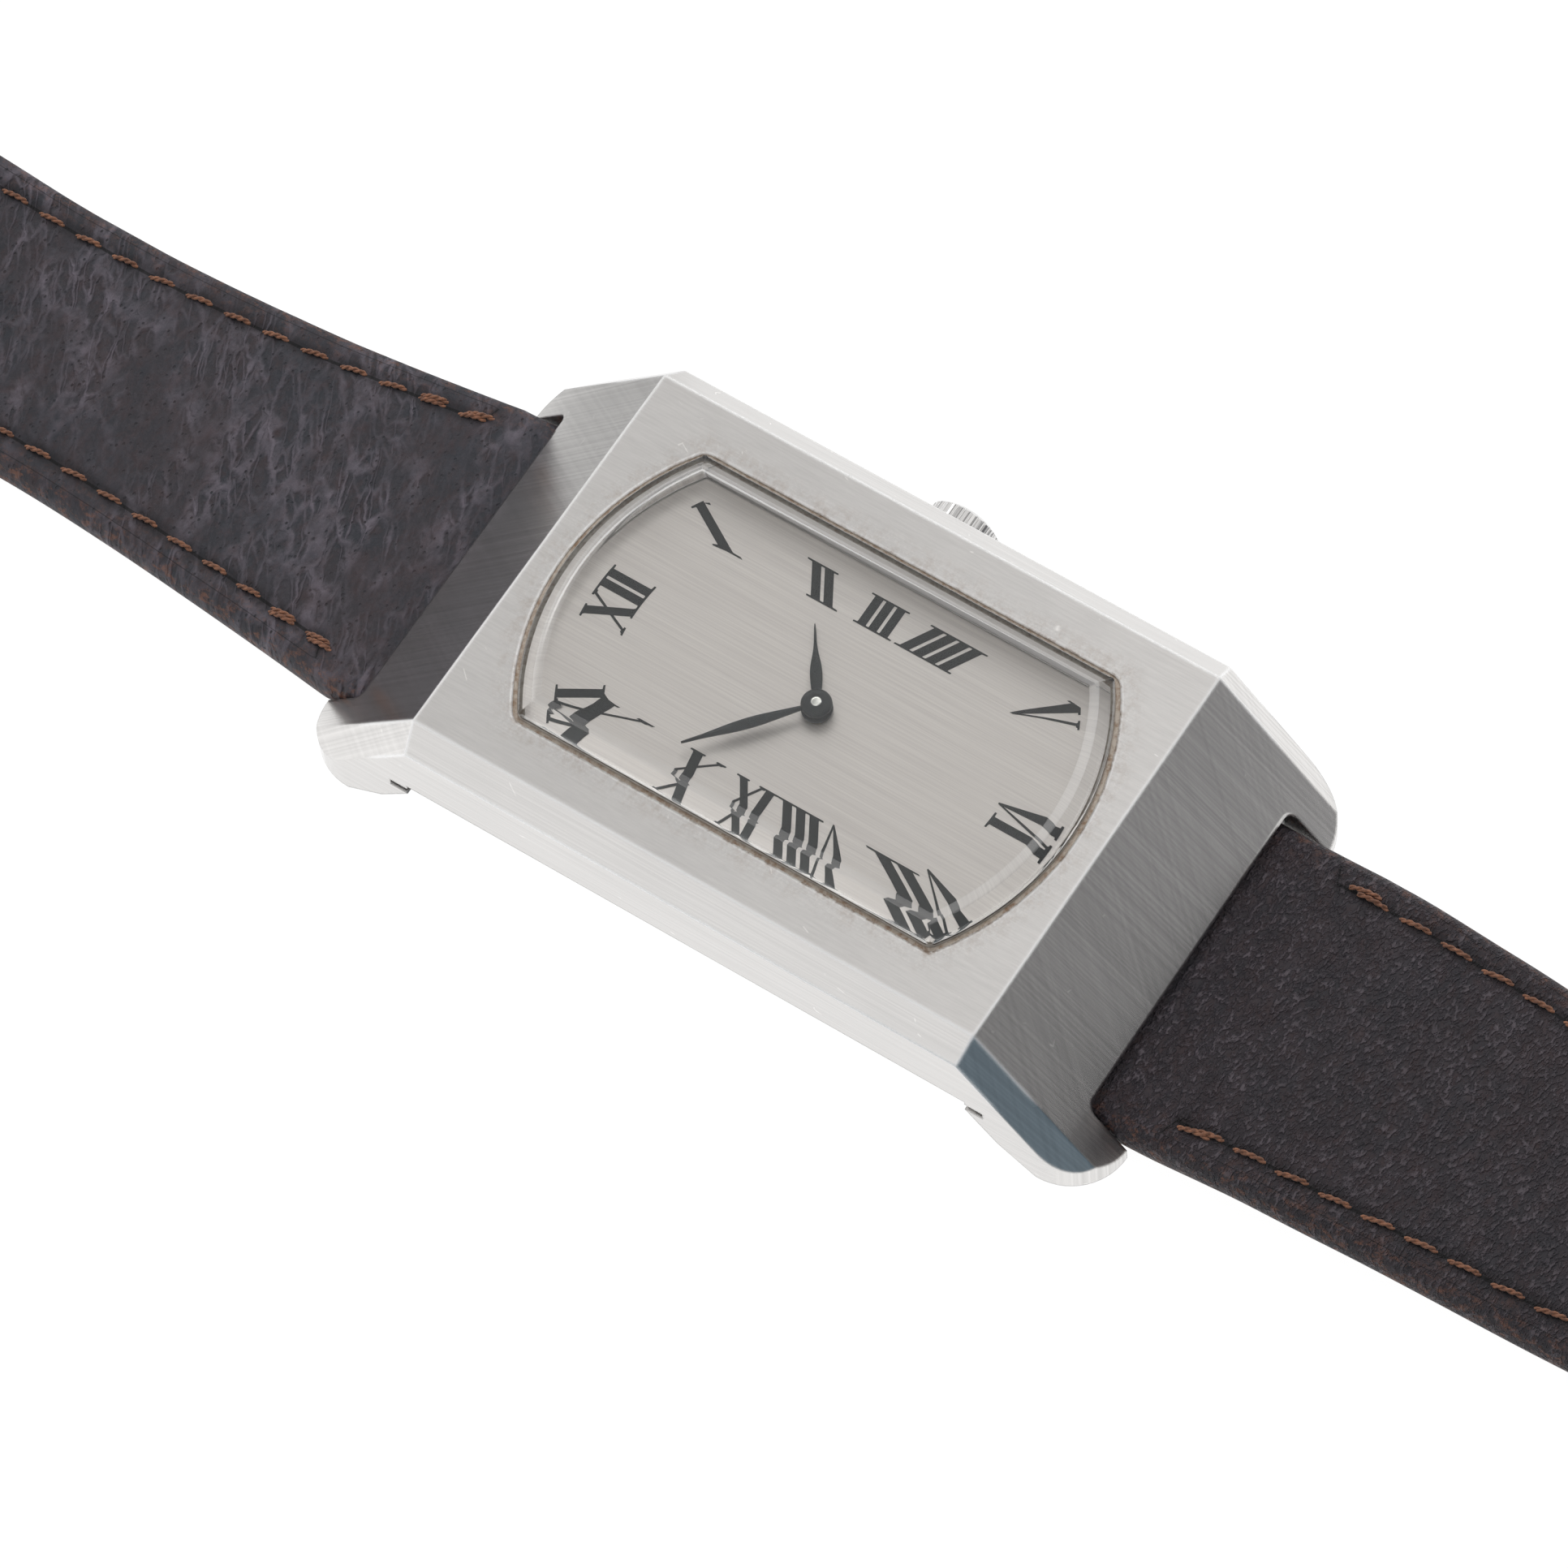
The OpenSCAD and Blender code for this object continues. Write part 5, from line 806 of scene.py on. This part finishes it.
class Strap:
    """Sizes of one strap half in mm, as functions of the distance y from the watch's centre.

    tip is the length of its pointed end, lift says from where to where it rises and by how much.
    """

    def __init__(self, sign, narrow_at, end, tip, lift, arch, relief, seed):
        self.sign, self.narrow_at, self.end, self.tip = sign, narrow_at, end, tip
        self.lift, self.arch, self.relief, self.seed = lift, arch, relief, seed

    def half(self, y):
        start = BAR_Y + 4
        part = 1 - min(1, max(0, (y - start) / (self.narrow_at - start)))
        share = 1 - (1 - part) ** 1.5 if self.tip else part ** 1.5
        width = HALF_AT_END + (HALF_AT_CASE - HALF_AT_END) * share
        if self.tip and y > self.end - self.tip:
            width *= math.sqrt(max(0.0016, 1 - ((y - self.end + self.tip) / self.tip) ** 2))
        return width

    def heights(self, y):
        """Heights of the lining and of the top skin before its relief."""
        low = ramp(y, [(BAR_Y, BAR_Z - CASE_THICK / 2), (BAR_Y + 5, 0)])
        top = ramp(y, [(BAR_Y, low + CASE_THICK), (THIN_AT, THICK)]) if y < THIN_AT else low + THICK
        rise = self.arch * ease(y, BAR_Y, 33) * (1 - ease(y, 37, 54))
        if self.lift:
            rise = self.lift[2] * ease(y, self.lift[0], self.lift[1])
        low, top = low + rise, top + rise
        if y < BAR_Y:
            reach = half_circle(CASE_THICK / 2, BAR_Y - y)
            low, top = BAR_Z - reach, BAR_Z + reach
        if not self.tip and y > self.end - THICK / 2:
            middle = (low + top) / 2
            reach = half_circle(THICK / 2, y - self.end + THICK / 2)
            low, top = middle - reach, middle + reach
        return low, top

    def skin(self, x, y):
        """Height of the top skin, and its distance from the seam, in mm."""
        low, top = self.heights(y)
        half = self.half(y)
        from_edge = half - abs(x)
        share = min(1, (top - low) / THICK) ** 2
        crown = 0.22 * (abs(x) / half) ** 3 * share
        sewn = ease(y, 26.2, 26.8)
        if not self.tip:
            sewn *= 1 - ease(y, self.end - 10, self.end - 8)
        from_seam = from_edge - SEAM_INSET
        near_seam = math.exp(-(from_seam / 0.3) ** 2) * sewn
        height = top - crown - 0.13 * near_seam * share
        inside = ease(from_edge, 0.5, 1.8)
        return height + self.relief(x, y, self.seed) * inside * share * ease(y, 22, 24), from_seam + 3 * (1 - sewn)


def rough_at(x, y, seed):
    """Smooth noise between -1 and 1, with features 1 mm apart."""
    return noise.noise(Vector((x, y, seed)))


def hump(offset, width):
    return math.exp(-(offset / width) ** 2)


def long_creases(x, y, seed):
    """Creases across a strap that has bent a lot, in mm: ridged noise drawn out across it."""
    slant = y - 0.28 * x
    warped = slant + rough_at(x / 5, y / 5, seed + 3) * 1.1
    ridge = 1 - abs(rough_at(x / 4.5, warped / 1.15, seed + 7)) * 2
    fine = 1 - abs(rough_at(x / 2.2, warped / 0.6, seed + 11)) * 2
    return rough_at(x / 7, slant / 3.4, seed) * 0.07 + 0.05 * ridge ** 3 + 0.025 * fine ** 2 - 0.05


def one_fold(x, y, seed):
    """A tight grain with a single soft fold near the case, in mm."""
    past_fold = y - 28.6 + 0.16 * x - 0.8 * rough_at(x / 4, 0, seed)
    fold = -0.1 * hump(past_fold, 0.35) + 0.12 * hump(past_fold + 1.1, 0.9)
    side_fold = -0.05 * hump(past_fold - 1.2 - 0.2 * x, 0.3)
    return rough_at(x / 8, y / 5, seed) * 0.05 + fold + side_fold + rough_at(x / 0.8, y / 0.55, seed + 5) * 0.018


near = Strap(sign=1, narrow_at=48, end=96.7, tip=0, lift=(52, 62, 1.1), arch=0, relief=long_creases, seed=2.3)
far = Strap(sign=-1, narrow_at=58, end=136.6, tip=9, lift=None, arch=1.3, relief=one_fold, seed=9.1)
print("strap width at the case:", 2 * near.half(23))

# %% [markdown]
# The rings are joined into one closed mesh. Three numbers are stored on its points for the leather's
# material: how rubbed an edge is, where the seam lies, and which side is lining. The holes, the
# tongue's slot and the bores for the bars are then cut with a Boolean.

# %% Strap meshes
def ring_points(strap, y):
    """Points round one cross-section, each with its seam, rubbed and lining values."""
    half = strap.half(y)
    low, top = strap.heights(y)
    turn_in = min(0.9, half * 0.5)
    drop = min((top - low) * 0.55, 1.3)
    points = []
    across = 56
    for i in range(across + 1):
        x = (half - turn_in) * (2 * i / across - 1)
        z, seam = strap.skin(x, y)
        points.append((x, z, seam, 0.25 * ease(abs(x), half - 2.2, half - 1.2), 0))
    # The edge is turned down in one quarter round, and its foot is rounded in another
    edge_top, left_top = points[-1][1], points[0][1]
    quarter = [math.pi / 2 * k / 6 for k in range(1, 7)]
    right = [(half - turn_in + turn_in * math.sin(a), edge_top - drop * (1 - math.cos(a)), 3,
              0.35 + 0.65 * math.sin(a), 0) for a in quarter]
    fall = max(0.02, edge_top - drop - low)
    under_in = min(0.5, fall, half * 0.4)
    below = [(half - under_in + under_in * math.cos(a), low + fall * (1 - math.sin(a)), 3,
              0.7 * math.cos(a), ease(a, 0.3, 0.9)) for a in quarter]
    flat = 12
    bottom = [((half - under_in) * (1 - 2 * i / flat), low, 3, 0, 1) for i in range(1, flat)]
    left = [(-x, z + (left_top - edge_top) * ease(z, low, edge_top), *values)
            for x, z, *values in (right + below)[::-1]]
    return points + right + below + bottom + left


def valued_mesh(name, stored_names, loops, closed=False):
    """A mesh from loops of points in mm, each with the values that are stored on it."""
    shape = bmesh.new()
    layers = [shape.verts.layers.float.new(n) for n in stored_names]
    made = []
    for loop in loops:
        made.append([shape.verts.new([c * MM for c in place]) for place, _ in loop])
        for vert, (_, values) in zip(made[-1], loop):
            for layer, value in zip(layers, values):
                vert[layer] = value
    join_rings(shape, made, closed)
    return finish_mesh(shape, name, 50)


def strap_mesh(name, strap):
    start = BAR_Y - CASE_THICK / 2
    steps = int((strap.end - start) / 0.34)
    places = [start + (strap.end - start) * i / steps for i in range(steps + 1)]
    places[0] += 0.01
    if strap.tip:
        ends = [strap.end - strap.tip * (1 - math.sin(math.pi / 2 * k / 24)) for k in range(1, 25)]
        places = [y for y in places if y < strap.end - strap.tip] + ends
    places[-1] -= 0.01
    loops = [[((x * strap.sign, y * strap.sign, z), values) for x, z, *values in ring_points(strap, y)]
             for y in places]
    return valued_mesh(name, ("seam", "edge_wear_and_highlight", "lining"), loops)


def cut_away(piece, cutters):
    """Cuts closed shapes out of a piece, with the exact Boolean."""
    tool = finish_mesh(cutters, piece.name + "_cutters")
    modifier = piece.modifiers.new("cut", "BOOLEAN")
    modifier.operation, modifier.solver, modifier.object = "DIFFERENCE", "EXACT", tool
    result = bpy.data.meshes.new_from_object(piece.evaluated_get(bpy.context.evaluated_depsgraph_get()))
    piece.modifiers.remove(modifier)
    piece.data = result
    bpy.data.objects.remove(tool)


def add_rod(shape, centre, radius, length, turn):
    """A rod along Z, turned by an angle about Y."""
    bmesh.ops.create_cone(
        shape, cap_ends=True, segments=24, radius1=radius * MM, radius2=radius * MM, depth=length * MM,
        matrix=Matrix.Translation(Vector(centre) * MM) @ Matrix.Rotation(math.radians(turn), 4, "Y"))


BAR_BORE, BUCKLE_BAR_BORE = 0.81, 0.66   # radii of the bars, 0.75 and 0.6 mm, and 0.06 mm of play
BUCKLE_BAR_Y, BUCKLE_BAR_Z = 95.6, 2.2
HOLES, HOLE_PITCH, HOLE_R, LAST_HOLE = 7, 7, 1.0, 112.6
strap_12 = strap_mesh("strap_12_leather", near)
cutters = bmesh.new()
add_rod(cutters, (0, BAR_Y, BAR_Z), BAR_BORE, 30, 90)
add_rod(cutters, (0, BUCKLE_BAR_Y, BUCKLE_BAR_Z), BUCKLE_BAR_BORE, 30, 90)
cut_away(strap_12, cutters)
slot = bmesh.new()
bmesh.ops.create_cube(slot, size=1, matrix=Matrix.Translation(Vector((0, BUCKLE_BAR_Y, 2.5)) * MM)
                      @ Matrix.Diagonal((2.6 * MM, 6 * MM, 7 * MM, 1)))
cut_away(strap_12, slot)
strap_6 = strap_mesh("strap_6_leather", far)
cutters = bmesh.new()
add_rod(cutters, (0, -BAR_Y, BAR_Z), BAR_BORE, 30, 90)
for i in range(HOLES):
    add_rod(cutters, (0, i * HOLE_PITCH - LAST_HOLE, 1), HOLE_R, 8, 0)
cut_away(strap_6, cutters)
put(strap_12, creased_leather, "strap_12", "strap_leather", "strap_12")
put(strap_6, pebbled_leather, "strap_6", "strap_leather", "strap_6")
print("strap faces:", len(strap_12.data.polygons), len(strap_6.data.polygons))

# %% [markdown]
# The stitches are waxed thread of two twisted plies, 1.65 and 1.9 mm long on a pitch of 2.4 and
# 2.5 mm. Geometry Nodes cut a line along the seam into equal steps, put a stitch on each and turn it
# along the line. A stitch is two spirals bent down at its ends.

# %% Stitch tree
stitches_by_rule = tree = bpy.data.node_groups.new("stitches", "GeometryNodeTree")
for name, kind, value in (
        ("Seam", "Geometry", None), ("Pitch", "Float", STITCH_PITCH * MM), ("Length", "Float", 1.8 * MM),
        ("Ply radius", "Float", 0.074 * MM), ("Dip", "Float", 0.26 * MM), ("Slant", "Float", math.radians(7)),
        ("Thread", "Material", None)):
    made = tree.interface.new_socket(name, in_out="INPUT", socket_type="NodeSocket" + kind)
    if value is not None:
        made.default_value = value
tree.interface.new_socket("Stitches", in_out="OUTPUT", socket_type="NodeSocketGeometry")
given = {socket.name: Wire(socket) for socket in add("NodeGroupInput").outputs}


def geometry(kind, inputs=None, **settings):
    return add("GeometryNode" + kind, inputs, **settings)


plies = geometry("JoinGeometry")
for ply in (0, 1):
    spiral = geometry("CurveSpiral", {
        "Resolution": 7, "Rotations": 2.0, "Start Radius": given["Ply radius"],
        "End Radius": given["Ply radius"], "Height": given["Length"]})
    laid = geometry("Transform", {"Geometry": spiral, "Rotation": (0, math.pi / 2, 0)})
    rolled = geometry("Transform", {"Geometry": laid, "Rotation": (math.pi * ply, 0, 0)})
    profile = geometry("CurvePrimitiveCircle", {"Resolution": 6, "Radius": given["Ply radius"] * 1.15})
    feed(plies, {0: geometry("CurveToMesh", {"Curve": rolled, "Profile Curve": profile, "Fill Caps": True})})
half = given["Length"] / 2
along = split(geometry("InputPosition"))[0]
fall = abs((along - half) / half) ** 2.5 * given["Dip"]
shift = add("ShaderNodeCombineXYZ", {"X": half * -1, "Z": fall * -1})
bent = geometry("SetPosition", {"Geometry": plies, "Offset": shift})
steps = geometry("CurveToPoints", {"Curve": given["Seam"], "Length": given["Pitch"]}, mode="LENGTH")
jitter = wire("FunctionNodeRandomValue", {2: -0.05, 3: 0.05, "Seed": 4}, 1, data_type="FLOAT")
slanted = add("ShaderNodeCombineXYZ", {"Z": given["Slant"] + jitter})
along_line = add("FunctionNodeAlignRotationToVector", {"Vector": steps.outputs["Tangent"]}, axis="X")
upright = add("FunctionNodeAlignRotationToVector", {"Rotation": along_line, "Vector": (0, 0, 1)},
              axis="Z", pivot_axis="X")
placed = geometry("InstanceOnPoints", {"Points": steps, "Instance": bent, "Rotation": upright})
stood = geometry("RotateInstances", {"Instances": placed, "Rotation": slanted})
softened = geometry("SetShadeSmooth", {"Geometry": geometry("RealizeInstances", {0: stood})})
coated = geometry("SetMaterial", {"Geometry": softened, "Material": given["Thread"]})
add("NodeGroupOutput", {"Stitches": coated})
print("stitch tree nodes:", len(stitches_by_rule.nodes))

# %% [markdown]
# Where a seam starts, the machine sews a few stitches back over the first ones, which leaves a thick
# double stitch. The seam's line is taken from the strap's own skin, so every stitch lies on it.

# %% Seams
STITCH_UP = 0.16       # the seam's line runs this far above the skin, in mm
BACK_STITCH = 0.24     # stitches sewn back lie this far outside the first ones
thread = mottled("waxed_copper_brown_thread", {
    "IOR": 1.5, "Roughness": 0.6, "Sheen Weight": 0.2, "Sheen Roughness": 0.5}, (0.25, 4), 0.35, 0.65,
    "#5E3B29", "#8C5D43")


def on_skin(strap, x, y):
    return Vector((x * strap.sign, y * strap.sign, strap.skin(x, y)[0] + STITCH_UP)) * MM


def seam_points(strap, side, start, end, shift=0.0):
    """Points on the skin along one side's seam, in metres."""
    count = max(2, int((end - start) / 0.6))
    places = [start + (end - start) * i / count for i in range(count + 1)]
    return [on_skin(strap, side * (strap.half(y) - SEAM_INSET + shift), y) for y in places]


def tip_points(strap):
    """The seam's way round the pointed end, from one side to the other."""
    points = []
    for k in range(-20, 21):
        a = math.pi / 2 * (1 - abs(k) / 20)
        points.append(on_skin(strap, (HALF_AT_END - SEAM_INSET) * math.cos(a) * (1 if k > 0 else -1),
                              strap.end - strap.tip + (strap.tip - SEAM_INSET) * math.sin(a)))
    return points


def sew(name, lines, body, pitch, length):
    """Stitches along several lines of points, as one mesh that rides on a strap half."""
    data = bpy.data.curves.new(name, "CURVE")
    data.dimensions = "3D"
    for line in lines:
        spline = data.splines.new("POLY")
        spline.points.add(len(line) - 1)
        for point, place in zip(spline.points, line):
            point.co = (*place, 1)
    guide = new_object(name + "_guide", data)
    modifier = guide.modifiers.new("stitches", "NODES")
    modifier.node_group = stitches_by_rule
    chosen = {"Thread": thread, "Pitch": pitch * MM, "Length": length * MM}
    for item in stitches_by_rule.interface.items_tree:
        if item.name in chosen:
            modifier[item.identifier] = chosen[item.name]
    mesh = bpy.data.meshes.new_from_object(guide.evaluated_get(bpy.context.evaluated_depsgraph_get()))
    mesh.name = name
    bpy.data.objects.remove(guide)
    put(new_object(name, mesh), None, body, "strap_leather")
    print(name, "faces:", len(mesh.polygons))


sew("stitches_12", [seam_points(near, 1, 27.6, 86), seam_points(near, -1, 27.2, 86),
                    seam_points(near, 1, 27.2, 30, BACK_STITCH), seam_points(near, -1, 26.9, 29.6, BACK_STITCH)],
    "strap_12", STITCH_PITCH * 0.96, 1.65)
sew("stitches_6", [seam_points(far, 1, 28.7, 126.4), seam_points(far, -1, 29.2, 126.4), tip_points(far),
                   seam_points(far, 1, 28.0, 30.2, BACK_STITCH), seam_points(far, -1, 28.5, 30.7, BACK_STITCH)],
    "strap_6", STITCH_PITCH, 1.9)

# %% [markdown]
# The keepers are loops of the same leather, 4 mm wide and 1 mm thick, with rounded edges. A rounded
# section is carried round a rectangle with rounded corners. The loop is closed, so it has no ends.

# %% Keepers
KEEPER_THICK, KEEPER_BEND, KEEPER_EDGE = 1.0, 0.9, 0.35   # thickness, radii of corners and edges, in mm


def rounded_rectangle(low_x, high_x, low_y, high_y, radius, steps):
    """Points round a rectangle with rounded corners, each with its direction outwards."""
    left, right, bottom, top = low_x + radius, high_x - radius, low_y + radius, high_y - radius
    points = []
    for x, y, start in ((right, top, 0), (left, top, 90), (left, bottom, 180), (right, bottom, 270)):
        for k in range(steps + 1):
            a = math.radians(start + 90 * k / steps)
            out = Vector((math.cos(a), math.sin(a)))
            points.append((Vector((x, y)) + radius * out, out))
    return points


def keeper_loop(name, node, body):
    low, high = (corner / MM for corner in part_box(node))
    in_by = KEEPER_THICK / 2
    mid_y, half_w = (low.y + high.y) / 2, (high.y - low.y) / 2
    loops = []
    for place, out in rounded_rectangle(in_by - high.x, high.x - in_by, low.z + in_by, high.z - in_by, KEEPER_BEND, 6):
        loops.append([((place.x + out.x * u, mid_y + v, place.y + out.y * u),
                       (ease(abs(v), half_w - 0.6, half_w - 0.2) * 0.8, 1 if u < 0.1 - in_by else 0))
                      for (u, v), _ in rounded_rectangle(-in_by, in_by, -half_w, half_w, KEEPER_EDGE, 4)])
    put(valued_mesh(name, ("edge_wear_and_highlight", "lining"), loops, True), creased_leather, body, "keeper_leather", node)


keeper_loop("fixed_keeper_leather", "fixed_keeper", "strap_12")
keeper_loop("free_keeper_leather", "free_keeper", "free_keeper")
print("keepers made")

# %% View transform
bpy.context.scene.view_settings.view_transform = "Standard"
